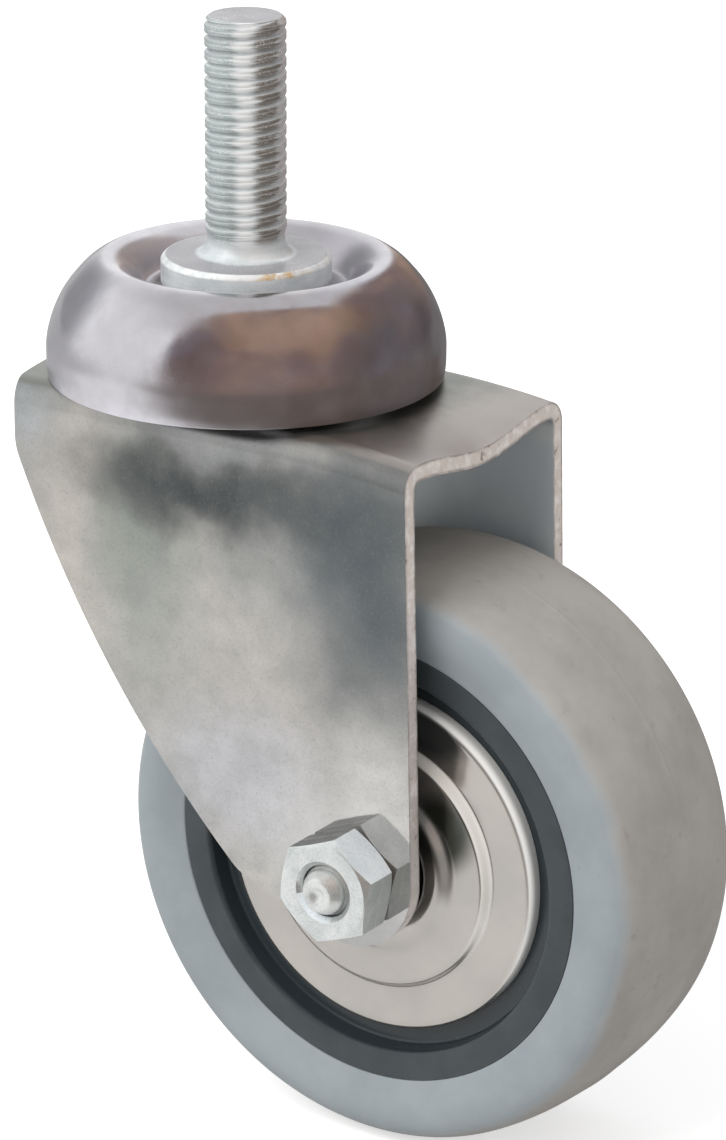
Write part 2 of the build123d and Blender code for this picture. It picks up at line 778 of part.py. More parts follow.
# Wheel bearings and collars, one set on each side of the hub.
for side, name in ((1, "near"), (-1, "far")):
    pieces = {
        "bearing_outer_" + name: bearing_ring(side, bearing_outer_land_r, bearing_outer_r),
        "bearing_inner_" + name: bearing_ring(side, bearing_bore_r, bearing_inner_land_r),
        "bearing_balls_" + name: bearing_balls(side),
        "hub_collar_" + name: hub_collar(side),
    }
    for label, solid in pieces.items():
        solid.label = label
        export_step(solid, "parts/" + label + ".step")
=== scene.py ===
# %% [markdown]
# # A swivel castor with a threaded stem
#
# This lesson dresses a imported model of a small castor: a zinc-plated fork, a pressed hood,
# a grey tyre on a dark plastic core, and a stem that screws into a chair or a trolley.
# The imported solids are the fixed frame. Each piece below either keeps its solid and gets a
# finish, or stands in for the solid with a finer shape of the same size in the same place.

import math

import bmesh
import bpy
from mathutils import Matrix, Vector


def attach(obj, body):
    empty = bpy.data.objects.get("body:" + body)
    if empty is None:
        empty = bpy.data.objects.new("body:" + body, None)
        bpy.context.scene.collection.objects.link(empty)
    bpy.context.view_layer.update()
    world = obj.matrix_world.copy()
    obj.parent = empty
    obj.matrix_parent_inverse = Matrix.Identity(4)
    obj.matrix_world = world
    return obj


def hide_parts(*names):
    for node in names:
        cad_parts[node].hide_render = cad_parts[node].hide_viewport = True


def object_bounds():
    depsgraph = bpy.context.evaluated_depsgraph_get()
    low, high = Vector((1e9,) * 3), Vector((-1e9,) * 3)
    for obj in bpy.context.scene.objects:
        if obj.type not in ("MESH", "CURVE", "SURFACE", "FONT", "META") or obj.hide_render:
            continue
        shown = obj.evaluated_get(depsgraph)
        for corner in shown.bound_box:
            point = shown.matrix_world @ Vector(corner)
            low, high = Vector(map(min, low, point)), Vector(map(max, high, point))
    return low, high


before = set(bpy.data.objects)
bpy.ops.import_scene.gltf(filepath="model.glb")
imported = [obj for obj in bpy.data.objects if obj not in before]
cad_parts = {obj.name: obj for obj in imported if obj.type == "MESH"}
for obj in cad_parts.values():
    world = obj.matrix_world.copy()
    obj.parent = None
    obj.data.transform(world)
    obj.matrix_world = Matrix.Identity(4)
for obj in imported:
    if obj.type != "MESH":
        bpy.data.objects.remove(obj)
cad_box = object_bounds()
MM = 0.001

# %% [markdown]
# ## The places that everything is measured from
#
# The swivel axis is Z, and its zero is the top face of the stem's flange. The axle lies
# along Y. A distance along the axle is counted towards -Y, the side with the nuts.
# A direction in the studio is an azimuth round the castor and an elevation, as a
# photographer would point at a lamp.

# %% Axes and directions
SWIVEL = (Vector((0, 0, 0)), Vector((0, 0, 1)))
AXLE = (Vector((34.2, 0, -88.3)) * MM, Vector((0, -1, 0)))
FLOOR_Z = cad_box[0][2]


def direction(azimuth, elevation):
    """The unit vector from the castor towards an azimuth and an elevation in degrees."""
    turn, rise = math.radians(azimuth), math.radians(elevation)
    flat = math.cos(rise)
    return Vector((math.sin(turn) * flat, -math.cos(turn) * flat, math.sin(rise)))


print("floor at", round(FLOOR_Z / MM, 2), "mm")

# %% [markdown]
# ## The camera
#
# The camera stands a little above the castor, in front of the nuts and to the right, and is
# far away, so that upright lines stay nearly parallel. Its place, its small roll and its
# long lens could be found by eye. Here they were worked out from the rings of the wheel and
# the flange, because circles of known size show the tilt of a view very exactly.

# %% Camera
VIEW_AZIMUTH, VIEW_ELEVATION, VIEW_ROLL = 33.398, 19.201, 0.2247
FRAME_WIDTH, FRAME_HEIGHT = 726, 1140
FOCAL_PIXELS = 4944.02
MIDDLE = (357.515, 565.343)

camera_data = bpy.data.cameras.new("camera")
camera = bpy.data.objects.new("camera", camera_data)
bpy.context.collection.objects.link(camera)
bpy.context.scene.camera = camera
camera.location = Vector((418.807, -603.719, 204.882)) * MM
camera_back = direction(VIEW_AZIMUTH, VIEW_ELEVATION)
camera.rotation_euler = camera_back.to_track_quat("Z", "Y").to_euler()
camera.rotation_euler.rotate_axis("Z", math.radians(VIEW_ROLL))
camera_data.sensor_fit = "VERTICAL"
camera_data.sensor_height = 36
camera_data.lens = FOCAL_PIXELS * camera_data.sensor_height / FRAME_HEIGHT
camera_data.shift_x = (FRAME_WIDTH / 2 - MIDDLE[0]) / FRAME_HEIGHT
camera_data.shift_y = (MIDDLE[1] - FRAME_HEIGHT / 2) / FRAME_HEIGHT
camera_data.clip_start, camera_data.clip_end = 0.01, 50
print("lens", round(camera_data.lens, 2), "mm")

# %% [markdown]
# ## Wiring nodes
#
# The studio and the finishes are made of shader nodes. Wired by hand each would take many
# clicks, so a few helpers add one node and link or set its inputs. One tree is wired at a
# time. Everything after this reads like a sum: a mix, a soft step, a product, a distance.

# %% Helpers that add and wire one node
class Wiring:
    """Holds the node tree that is being wired."""

    tree = None


def start_wiring(owner):
    """Empties the nodes of a world or a material. What is added next is added there."""
    owner.use_nodes = True
    Wiring.tree = owner.node_tree
    Wiring.tree.nodes.clear()


def feed(socket, value):
    """Links an input to a socket, or sets it to a value."""
    if isinstance(value, bpy.types.NodeSocket):
        Wiring.tree.links.new(value, socket)
    else:
        socket.default_value = value


def node(kind, settings=None, **inputs):
    """Adds a node and feeds its inputs, named as in the editor or by place: i0, i1."""
    made = Wiring.tree.nodes.new(kind)
    for name, value in (settings or {}).items():
        setattr(made, name, value)
    for name, value in inputs.items():
        by_place = name[0] == "i" and name[1:].isdigit()
        feed(made.inputs[int(name[1:]) if by_place else name.replace("_", " ")], value)
    return made


def colour(red, green, blue):
    """A colour as a paint chart writes it, 0 to 255, turned to the linear values of light."""
    linear = []
    for part in (red, green, blue):
        share = part / 255
        linear.append(share / 12.92 if share <= 0.04045 else ((share + 0.055) / 1.055) ** 2.4)
    return (*linear, 1.0)


def mix(share, first, second):
    """The colour between two colours."""
    made = node("ShaderNodeMix", {"data_type": "RGBA"})
    for index, value in ((0, share), (6, first), (7, second)):
        feed(made.inputs[index], value)
    return made.outputs[2]


def tones(share, first, second):
    """The colour between two colours of the paint chart."""
    return mix(share, colour(*first), colour(*second))


def math_node(operation, *values):
    """One sum on numbers."""
    made = node("ShaderNodeMath", {"operation": operation})
    for socket, value in zip(made.inputs, values):
        feed(socket, value)
    return made.outputs[0]


def times(first, second):
    """The product of two numbers."""
    return math_node("MULTIPLY", first, second)


def larger(first, second):
    """The larger of two numbers."""
    return math_node("MAXIMUM", first, second)


def smooth(value, low, high, to_low=0.0, to_high=1.0):
    """A soft step from to_low to to_high while value goes from low to high."""
    made = node("ShaderNodeMapRange", {"interpolation_type": "SMOOTHSTEP"})
    for socket, given in zip(made.inputs, (value, low, high, to_low, to_high)):
        feed(socket, given)
    return made.outputs[0]


def vector_node(operation, first, second):
    """One sum on vectors."""
    return node("ShaderNodeVectorMath", {"operation": operation}, i0=first, i1=second)


def vector(operation, first, second=(0, 0, 0)):
    """A sum on vectors that gives a vector."""
    return vector_node(operation, first, second).outputs[0]


def number(operation, first, second=(0, 0, 0)):
    """A sum on vectors that gives a number, such as a length or a dot product."""
    return vector_node(operation, first, second).outputs["Value"]


def split(given):
    """The X, Y and Z of a vector."""
    return node("ShaderNodeSeparateXYZ", Vector=given).outputs


print("helpers ready")

# %% [markdown]
# ## The studio
#
# Bare metal has hardly any colour of its own: it shows what stands round it. On the real
# castor one side reflects a white sheet and the other the unlit half of the room, and the
# border between them is the soft dark patch on the hood. A ring of lamps would give small
# hard glints instead, so the world itself is split in two halves with a blurred border.
# The camera sees plain white all round, and so does the bright half of every reflection.

# %% World in two halves
# The ways that the unlit room and the greyer parts of the sheet lie in, seen from the castor.
ROOM = direction(VIEW_AZIMUTH + 41, 3)
ROOM_BELOW = direction(VIEW_AZIMUTH + 23, -10)
ROOM_SIDE = direction(VIEW_AZIMUTH + 105, -12)
FAR_LEFT = direction(VIEW_AZIMUTH - 165, 0)
FAR_LEFT_SKY = direction(VIEW_AZIMUTH - 142, 8)
WHITE = (1, 1, 1, 1)

world = bpy.data.worlds.new("studio")
bpy.context.scene.world = world
start_wiring(world)
look = node("ShaderNodeTexCoord").outputs["Generated"]
rays = node("ShaderNodeLightPath").outputs


def half_towards(way, low, high):
    """1 in the part of the sky that lies towards a direction, with a soft border."""
    towards = number("DOT_PRODUCT", look, tuple(way))
    return smooth(towards, low, high)


in_front = half_towards(ROOM, -0.025, 0.035)
in_front = times(in_front, half_towards(ROOM_BELOW, -0.05, 0.06))
in_room = larger(in_front, half_towards(ROOM_SIDE, 0.28, 0.45))
clutter = node("ShaderNodeTexNoise", i0=look, Scale=2.1, Detail=3.0, Roughness=0.55).outputs
room_side = half_towards(ROOM_SIDE, -0.80, -0.30)
room_tone = tones(room_side, (112, 92, 89), (182, 153, 134))
room_tone = mix(half_towards(ROOM_SIDE, 0.30, 0.85), room_tone, colour(106, 100, 103))
dark_clutter = smooth(clutter["Fac"], 0.44, 0.62, 0, 0.75)
room_tone = mix(dark_clutter, room_tone, colour(126, 110, 110))
hue = node("ShaderNodeSeparateColor", Color=clutter["Color"]).outputs["Blue"]
room_tone = mix(smooth(hue, 0.50, 0.64, 0, 0.40), room_tone, colour(134, 133, 146))
sheet_tone = mix(half_towards(FAR_LEFT_SKY, 0.84, 0.99), WHITE, (0.36, 0.36, 0.37, 1))
overhead = half_towards(Vector((0, 0, 1)), 0.62, 0.95)
sheet_tone = mix(overhead, sheet_tone, (0.66, 0.65, 0.65, 1))
seen = mix(in_room, sheet_tone, room_tone)
soft = mix(in_room, (0.78, 0.80, 0.82, 1), (0.74, 0.72, 0.70, 1))
lit = mix(larger(rays["Is Glossy Ray"], rays["Is Transmission Ray"]), soft, seen)
shown = mix(rays["Is Camera Ray"], lit, WHITE)
backdrop = node("ShaderNodeBackground", Color=shown, Strength=1.0)
node("ShaderNodeOutputWorld", Surface=backdrop.outputs[0])
print("the dim half faces", [round(v, 2) for v in ROOM])

# %% [markdown]
# ## The floor
#
# The sheet under the castor ends a short way in front of it on the side of the unlit room,
# as a sheet on a table does. The camera never sees that edge, but the hood's wall does, so
# the floor turns dark there in mirrored rays only.

# %% Floor
SHEET_SIZE = 8.0
# Where the white sheet gives way to the dim room in a reflection: towards the room, to its side.
SHEET_ENDS = ((ROOM, 0.09, 0.16), (ROOM_BELOW, 0.085, 0.13), (ROOM_SIDE, 0.13, 0.22))

bpy.ops.object.select_all(action="DESELECT")
bpy.ops.mesh.primitive_plane_add(size=SHEET_SIZE, location=(0, 0, FLOOR_Z))
floor = bpy.context.object
floor.name = "paper_floor"
floor_paint = bpy.data.materials.new("paper")
start_wiring(floor_paint)
paper_rays = node("ShaderNodeLightPath").outputs
paper_place = node("ShaderNodeTexCoord").outputs["Object"]
beyond = 0.0
for way, near, far in SHEET_ENDS:
    flat_way = Vector((way.x, way.y, 0)).normalized()
    along = number("DOT_PRODUCT", paper_place, tuple(flat_way))
    beyond = larger(beyond, smooth(along, near, far))
mirrored = times(beyond, paper_rays["Is Glossy Ray"])
to_the_left = number("DOT_PRODUCT", paper_place, tuple(FAR_LEFT))
greyer = smooth(to_the_left, 0.19, 0.33, 0, 0.65)
greyer = times(greyer, paper_rays["Is Glossy Ray"])
straight = larger(paper_rays["Is Camera Ray"], paper_rays["Is Glossy Ray"])
straight = larger(straight, paper_rays["Is Transmission Ray"])
paper_tone = mix(mirrored, (0.62, 0.62, 0.625, 1), colour(104, 96, 92))
paper_tone = mix(greyer, paper_tone, (0.20, 0.20, 0.205, 1))
dimmer = larger(mirrored, greyer)
glow = math_node("MULTIPLY_ADD", paper_rays["Is Camera Ray"], 0.27, 0.33)
glow = times(times(straight, glow), math_node("SUBTRACT", 1.0, dimmer))
paper_matt = node("ShaderNodeBsdfDiffuse", Color=paper_tone)
paper_glow = node("ShaderNodeEmission", Color=WHITE, Strength=glow)
paper_sum = node("ShaderNodeAddShader", i0=paper_matt.outputs[0], i1=paper_glow.outputs[0])
node("ShaderNodeOutputMaterial", Surface=paper_sum.outputs[0])
floor.data.materials.append(floor_paint)
print("floor at", round(floor.location.z / MM, 2), "mm")

# %% [markdown]
# ## The lamp
#
# The one lamp is a broad soft key from the left. It lights rubber and plastic and is hidden
# from mirrored rays, because on the real castor the metal shows no lamp, only the sheet.

# %% Lamp
MIDDLE_OF_CASTOR = Vector((0.015, 0, -0.05))
LAMP_AWAY = 1.5

key_data = bpy.data.lights.new("key", "SUN")
key_data.energy = 1.75
key_data.color = (1.0, 0.99, 0.97)
key_data.angle = math.radians(38)
key = bpy.data.objects.new("key", key_data)
bpy.context.collection.objects.link(key)
key_way = direction(VIEW_AZIMUTH - 50, 48)
key.location = MIDDLE_OF_CASTOR + key_way * LAMP_AWAY
key.rotation_euler = key_way.to_track_quat("Z", "Y").to_euler()
key.visible_glossy = False
print("lamp:", key.name)

# %% [markdown]
# ## Finishes
#
# Every finish is built from a few layers: a base colour, clouds that change it over
# centimetres, a grain that changes it over tenths of a millimetre, and a pale or dark line
# along an edge. The pale lines are partly wear and partly a painted highlight. Pictures could
# be wrapped round the pieces instead, but layers that are worked out from the place in the
# object need no unwrapping and stay sharp.

# %% Layers that finishes share
def surface_place():
    """The place on the piece, in metres."""
    return node("ShaderNodeTexCoord").outputs["Object"]


def surface_normal():
    """The way that the surface faces, on the piece itself."""
    return node("ShaderNodeTexCoord").outputs["Normal"]


def noise(place, scale, detail=4.0, roughness=0.55, stretch=None):
    """Clouds: scale is how many there are in a metre."""
    if stretch:
        place = vector("MULTIPLY", place, stretch)
    look_of = {"Vector": place, "Scale": scale, "Detail": detail, "Roughness": roughness}
    return node("ShaderNodeTexNoise", **look_of).outputs["Fac"]


def between(value, rise, full, fade, gone):
    """Rises while value goes from rise to full, and is gone again from fade to gone."""
    return times(smooth(value, rise, full), smooth(value, gone, fade))


def over(tone, share, *paint):
    """A tone with a share of another colour laid over it."""
    return mix(share, tone, colour(*paint))


def spots(tone, place, listed, centre, depth, fade):
    """Lays patches on a tone: middle (x, z) from centre and reach in mm, colour, strength."""
    for (x, z), (wide, high), paint, strength in listed:
        offset = vector("SUBTRACT", place, tuple(centre + Vector((x, 0, z)) * MM))
        reach = (1 / (wide * MM), 1 / (depth * MM), 1 / (high * MM))
        away = number("LENGTH", vector("MULTIPLY", offset, reach))
        tone = over(tone, smooth(away, *fade, 0, strength), *paint)
    return tone


def round_stem(place):
    """How far a point is from the swivel axis in metres, and to the camera's right, -1 to 1."""
    flat = vector("MULTIPLY", place, (1, 1, 0))
    to_right = tuple(direction(VIEW_AZIMUTH + 90, 0))
    across = number("DOT_PRODUCT", vector("NORMALIZE", flat), to_right)
    return number("LENGTH", flat), across


def across_wheel(place):
    """How far a point is from the wheel's middle plane, and from the axle, in metres."""
    parts = split(vector("SUBTRACT", place, tuple(AXLE[0])))
    flat = node("ShaderNodeCombineXYZ", X=parts["X"], Z=parts["Z"]).outputs[0]
    return math_node("ABSOLUTE", parts["Y"]), number("LENGTH", flat)


def bevelled(reach):
    """The way that the surface would face if its edges were rounded that far."""
    return node("ShaderNodeBevel", {"samples": 4}, Radius=reach).outputs[0]


def outer_edge(reach):
    """1 on an outer edge and 0 on open faces, from how far a rounded normal leaves the real one."""
    true_normal = node("ShaderNodeNewGeometry").outputs["Normal"]
    same = number("DOT_PRODUCT", bevelled(reach), true_normal)
    return smooth(same, 0.99, 0.88)


def bump(height, strength, distance, soften=0.0):
    """Turns a height into a normal. soften also rounds the shading of edges by that radius."""
    made = node("ShaderNodeBump", Height=height, Strength=strength, Distance=distance)
    if soften:
        feed(made.inputs["Normal"], bevelled(soften))
    return made.outputs[0]


def finish(name, slot_colour):
    """An empty material with its shader, ready for layers, and the place that they read."""
    made = bpy.data.materials.new(name)
    made.diffuse_color = slot_colour
    start_wiring(made)
    shader = node("ShaderNodeBsdfPrincipled")
    node("ShaderNodeOutputMaterial", Surface=shader.outputs[0])
    return made, shader, surface_place()


def wire(shader, **inputs):
    """Feeds the inputs of a shader by name."""
    for name, value in inputs.items():
        feed(shader.inputs[name.replace("_", " ")], value)


print("layers ready")

# %% [markdown]
# ### Bright zinc
#
# The stem, the bolt and the nuts are turned steel with a thin bluish zinc plate. Its edges
# are pale, partly wear and partly a painted highlight. The plate is slightly milky in the
# hollows, and its fine crystals sparkle. The sparkle is a grain in the colour and in the bump.
# On the stem, upright bands of painted reflection are laid on one by one over the lathe's
# rings, and the flange gets painted shade on its top and a painted highlight on its rim.

# %% Bright zinc
STEM_BARREL_R = 7.4 * MM
FLANGE_RIM_R = 12.3 * MM
END_FACE_Z = 32 * MM
# Painted reflections in bands down the stem's barrel: from and to (share of its width,
# right is 1), colour, strength.
STEM_REFLECTION_BANDS = (
    ((-1.3, -1.2), (-0.40, -0.06), (160, 172, 170), 0.9),
    ((-0.34, -0.02), (0.06, 0.36), (252, 255, 255), 1.0),
    ((0.16, 0.42), (0.74, 0.92), (118, 110, 101), 0.95),
    ((0.78, 0.92), (1.3, 1.4), (192, 186, 185), 0.95),
)


def stem_rings_and_reflections(place, tone, reflection_bands):
    """Lays lathe rings, the flange's painted shade and rim highlight, and painted reflection bands
    on a tone.
    """
    rings = noise(place, 1, 4, 0.6, stretch=(90, 90, 1700))
    smear = times(math_node("SUBTRACT", rings, 0.5), 0.7)
    radius, across = round_stem(place)
    across = math_node("ADD", across, smear)
    height, outward = split(place)["Z"], split(surface_normal())["Z"]
    above_neck = smooth(height, 1.8 * MM, 4.0 * MM)
    on_barrel = times(smooth(radius, STEM_BARREL_R, 6.5 * MM), above_neck)
    on_barrel = times(on_barrel, smooth(outward, 0.9, 0.7))
    tone = over(tone, smooth(rings, 0.42, 0.60, 0, 0.15), 150, 156, 156)
    # The flange: painted shade on its top and on the stem's end face, and a painted highlight
    # on the rim that turns golden to the right.
    end_face = smooth(height, END_FACE_Z - 2 * MM, END_FACE_Z)
    flat_end = larger(smooth(radius, 7.2 * MM, 8.2 * MM), end_face)
    flange_top_shade = times(smooth(outward, 0.80, 0.97), flat_end)
    tone = over(tone, times(flange_top_shade, 0.85), 148, 145, 151)
    rim = between(outward, 0.12, 0.3, 0.85, 0.97)
    rim = times(rim, smooth(radius, FLANGE_RIM_R - 0.4 * MM, FLANGE_RIM_R))
    golden_glint = between(across, 0.05, 0.3, 0.6, 0.8)
    golden_glint = times(golden_glint, smooth(noise(place, 420, 2), 0.42, 0.56))
    broken = smooth(noise(place, 700, 3), 0.38, 0.60, 0.25, 0.85)
    rim_highlight_tone = tones(golden_glint, (250, 252, 252), (210, 172, 112))
    tone = mix(times(rim, broken), tone, rim_highlight_tone)
    # Upright bands of painted reflection down the barrel.
    for (rise, full), (fade, gone), paint, strength in reflection_bands:
        reflection_band = times(between(across, rise, full, fade, gone), on_barrel)
        tone = over(tone, times(reflection_band, strength), *paint)
    return tone, rings


def bright_zinc(name, light, dark, depth, metal, reflection_bands=(), soften=0.0, sparkle=0.42):
    """Plated steel in two tones. The grain's depth and the softened edge are in mm."""
    made, shader, place = finish(name, colour(*light))
    clouds = smooth(noise(place, 240, 5), 0.30, 0.72)
    grain = noise(place, 3800, 2, 0.7)
    tone = tones(clouds, dark, light)
    if reflection_bands:
        tone, rings = stem_rings_and_reflections(place, tone, reflection_bands)
        grain = math_node("ADD", times(grain, 0.6), times(rings, 0.5))
    tone = over(tone, smooth(grain, 0.55, 0.70, 0, sparkle), 248, 251, 252)
    tone = over(tone, smooth(grain, 0.44, 0.30, 0, 0.30), 112, 116, 118)
    # Pale edges: partly wear and partly a painted highlight.
    edge_wear_and_highlight = outer_edge(0.35 * MM)
    tone = over(tone, times(edge_wear_and_highlight, 0.65), 240, 242, 242)
    rough = math_node("MULTIPLY_ADD", clouds, -0.08, 0.36)
    normal = bump(grain, 0.35, depth * MM, soften * MM)
    wire(shader, Base_Color=tone, Metallic=metal, Roughness=rough, Normal=normal)
    return made


# Lit, dim and dark copies of the nuts' plate: painted light and shade for faces that look different
# ways.
flat_painted_lit = bright_zinc(
    "nut_flat_painted_lit", (242, 248, 252), (226, 234, 240), 0.16, 0.05, soften=0.08, sparkle=1.0
)
flat_painted_dim = bright_zinc("nut_flat_painted_dim", (216, 222, 221), (196, 202, 201), 0.04, 0.5, soften=0.08)
flat_painted_dark = bright_zinc("nut_flat_painted_dark", (98, 102, 103), (82, 86, 87), 0.04, 0.6, soften=0.08)
bolt_zinc = bright_zinc("bolt_zinc", (226, 228, 226), (202, 206, 205), 0.12, 0.6, soften=0.12)
stem_zinc = bright_zinc("bright_zinc", (236, 241, 243), (212, 220, 223), 0.03, 0.30, STEM_REFLECTION_BANDS)
nut_zinc = bright_zinc("nut_zinc", (222, 225, 223), (206, 211, 210), 0.04, 0.8, soften=0.10)
print("made", stem_zinc.name, nut_zinc.name)

# %% [markdown]
# ### Hood metal
#
# The hood is drawn from sheet and left satin bright. The plate has a lilac cast, faint
# handling marks and a few dark specks. On the side that faces the room, faint golden, bluish
# and dark clouds are painted reflections of the room. Painted shade darkens the well round
# the flange and the right of the dish. Low on the wall the sheet is duller.

# %% Hood metal
DISH_R, WELL_R = 22.5 * MM, 16.2 * MM
# Painted reflections of the room on the hood: clouds in a metre, where they begin, colour,
# strength.
HOOD_PAINTED_REFLECTIONS = (
    (48, 0.46, (192, 172, 132), 0.38),
    (60, 0.48, (156, 162, 184), 0.32),
    (90, 0.46, (148, 134, 134), 0.34),
)


def hood_finish():
    """Satin bright sheet with a lilac cast."""
    made, shader, place = finish("hood_metal", colour(206, 204, 210))
    clouds = smooth(noise(place, 55, 4), 0.34, 0.68)
    marks = smooth(noise(place, 330, 5, 0.6), 0.30, 0.75)
    grain = noise(place, 2600, 3, 0.65)
    tone = tones(clouds, (206, 204, 209), (224, 223, 229))
    tone = over(tone, times(marks, 0.20), 186, 180, 184)
    tone = over(tone, smooth(grain, 0.62, 0.8, 0, 0.25), 214, 212, 218)
    specks = node("ShaderNodeTexVoronoi", Vector=place, Scale=150.0).outputs["Distance"]
    chance = smooth(noise(place, 90, 1), 0.52, 0.60)
    speck = times(smooth(specks, 0.06, 0.02), chance)
    tone = over(tone, times(speck, 0.45), 120, 106, 108)
    radius, across = round_stem(place)
    # Painted shade in the well round the flange.
    tone = over(tone, smooth(radius, WELL_R, WELL_R - 2.4 * MM, 0, 0.85), 74, 72, 72)
    in_dish = smooth(radius, DISH_R, DISH_R - 3.0 * MM)
    on_wall = smooth(in_dish, 0, 1, 1, 0)
    reflection_side = times(smooth(across, -0.40, 0.05), on_wall)
    for size, cut, paint, strength in HOOD_PAINTED_REFLECTIONS:
        cloud = smooth(noise(place, size, 2), cut, cut + 0.24, 0, strength)
        tone = over(tone, times(cloud, reflection_side), *paint)
    # Painted shade on the dish's right, away from the lamp.
    shaded = times(in_dish, smooth(across, 0.2, 0.7, 0, 0.40))
    tone = over(tone, shaded, 150, 148, 156)
    satin = smooth(split(place)["Z"], -7 * MM, -15 * MM, 0, 0.17)
    rough = math_node("ADD", math_node("MULTIPLY_ADD", marks, 0.08, 0.13), satin)
    milky = times(in_dish, smooth(across, 0.2, -0.5, 0.14, 0.34))
    metal = math_node("SUBTRACT", 1.0, milky)
    normal = bump(marks, 0.12, 0.05 * MM)
    wire(shader, Base_Color=tone, Metallic=metal, Roughness=rough, Normal=normal)
    return made


hood_metal = hood_finish()
print("made", hood_metal.name)

# %% [markdown]
# ### Fork zinc
#
# The fork's plate is cloudy. On the near leg, large patches are painted reflections and
# shade: warm pale grey low on the leg, and dark blue-grey under the crown's bend and along
# the front edge. Even clouds would not sit right, so the large patches are placed one by
# one on the leg and their borders are broken up by noise.

# %% Fork zinc
FORK_HALF_WIDTH = 22.4 * MM
PATCH_DRIFT = 0.012
# Painted reflections and shade on the near leg, each: middle (x, z) and reach (x, z) on the
# leg in mm, its colour and how strong it is.
LEG_PAINTED_REFLECTIONS = (
    ((16, -60), (46, 46), (206, 202, 197), 0.9),
    ((14, -76), (16, 12), (204, 205, 212), 0.7),
    ((-17, -42), (12, 24), (208, 202, 195), 0.9),
    ((-4, -47), (10, 20), (172, 176, 170), 0.8),
    ((-5, -38), (9, 13.5), (158, 163, 156), 0.9),
    ((0, -31), (13, 7), (100, 102, 98), 0.9),
    ((26, -38), (15, 14), (166, 170, 170), 0.6),
    ((9, -31.0), (28, 6.6), (74, 78, 80), 0.97),
    ((31, -32), (16, 8), (90, 94, 96), 0.85),
    ((38, -42), (14, 26), (94, 102, 107), 0.95),
    ((16, -41), (10, 6), (160, 162, 158), 0.6),
    ((10, -23.5), (14, 2.6), (160, 162, 166), 0.5),
    ((-26, -25), (8, 7), (186, 190, 194), 0.8),
    ((39, -70), (8, 11), (222, 220, 216), 0.8),
)


def fork_finish():
    """Cloudy zinc, with painted reflections and shade placed on the near leg and drifting ones
    elsewhere.
    """
    made, shader, place = finish("fork_zinc", colour(170, 168, 164))
    warp = node("ShaderNodeTexNoise", Vector=place, Scale=95.0, Detail=3.0).outputs["Color"]
    push = vector("SUBTRACT", warp, (0.5, 0.5, 0.5))
    drifted = vector("ADD", place, vector("MULTIPLY", push, (PATCH_DRIFT,) * 3))
    clouds = smooth(noise(place, 42, 4), 0.36, 0.66)
    tone = tones(clouds, (122, 128, 130), (196, 193, 188))
    near_leg = Vector((0, -FORK_HALF_WIDTH, 0))
    tone = spots(tone, drifted, LEG_PAINTED_REFLECTIONS, near_leg, 9, (1.45, 0.15))
    mottle = smooth(noise(place, 210, 5, 0.6), 0.30, 0.72, 0.0, 0.26)
    tone = over(tone, mottle, 128, 132, 128)
    grain = noise(place, 2000, 4, 0.75)
    tone = over(tone, smooth(grain, 0.52, 0.74, 0, 0.13), 208, 208, 204)
    tone = over(tone, smooth(grain, 0.48, 0.30, 0, 0.24), 92, 97, 100)
    fine = noise(place, 5200, 2, 0.6)
    tone = over(tone, smooth(fine, 0.35, 0.65, 0, 0.10), 120, 123, 122)
    parts, facing = split(place), split(surface_normal())
    # The crown's top is painted darker near the hood, as shade and a reflection of the hood,
    # and lighter towards its falling front edge, as painted light.
    forward = math_node("MULTIPLY_ADD", mottle, 0.02, parts["X"])
    at_front = smooth(forward, 29 * MM, 41 * MM)
    crown_painted_shading = tones(at_front, (138, 141, 135), (186, 180, 176))
    tone = mix(smooth(facing["Z"], 0.75, 0.9, 0, 0.75), tone, crown_painted_shading)
    # Inside, the legs are lit only by what comes past the wheel, so their faces get a lighter
    # tone as painted light.
    inward = math_node("LESS_THAN", times(facing["Y"], parts["Y"]), 0.0)
    inside = times(inward, smooth(parts["Z"], -23 * MM, -26 * MM))
    inner_painted_light = tones(clouds, (222, 230, 236), (242, 242, 238))
    tone = mix(times(inside, 0.8), tone, inner_painted_light)
    # Sheared edges: pinkish and pale, partly painted light, with dark nicks, bright nicks that
    # are partly painted glints, and a dark line along the outer corner.
    upright = smooth(math_node("ABSOLUTE", facing["Y"]), 0.5, 0.3)
    leg_edge = times(upright, smooth(parts["Z"], -27 * MM, -30 * MM))
    front_edge = smooth(math_node("ABSOLUTE", facing["X"]), 0.5, 0.7)
    sheared = larger(front_edge, leg_edge)
    nicks = noise(place, 520, 4, 0.65)
    nicks_and_glints = smooth(nicks, 0.46, 0.70)
    edge_tone = tones(nicks_and_glints, (232, 222, 216), (255, 251, 247))
    edge_tone = over(edge_tone, smooth(nicks, 0.40, 0.30), 150, 138, 132)
    dark_corner_line = smooth(noise(place, 300, 2), 0.35, 0.6, 0.45, 0.95)
    dark_corner_line = times(outer_edge(0.9 * MM), dark_corner_line)
    edge_tone = over(edge_tone, dark_corner_line, 84, 80, 79)
    tone = mix(sheared, tone, edge_tone)
    # Round the nuts the plate was never bent or ground, so it mirrors them, and a paler tone
    # there is a painted reflection of them.
    from_axle = across_wheel(place)[1]
    tone = over(tone, smooth(from_axle, 17 * MM, 10 * MM, 0, 0.3), 220, 218, 217)
    mirror = smooth(from_axle, 24 * MM, 13 * MM)
    rough = math_node("MULTIPLY_ADD", grain, 0.14, 0.27)
    rough = times(rough, smooth(mirror, 0, 1, 1.0, 0.18))
    not_metal = larger(times(sheared, 0.78), times(inside, 0.6))
    metal = math_node("SUBTRACT", 0.92, not_metal)
    wire(shader, Base_Color=tone, Metallic=metal, Roughness=rough)
    grain = times(grain, smooth(mirror, 0, 1, 1.0, 0.12))
    wire(shader, Normal=bump(grain, 0.30, 0.05 * MM))
    return made


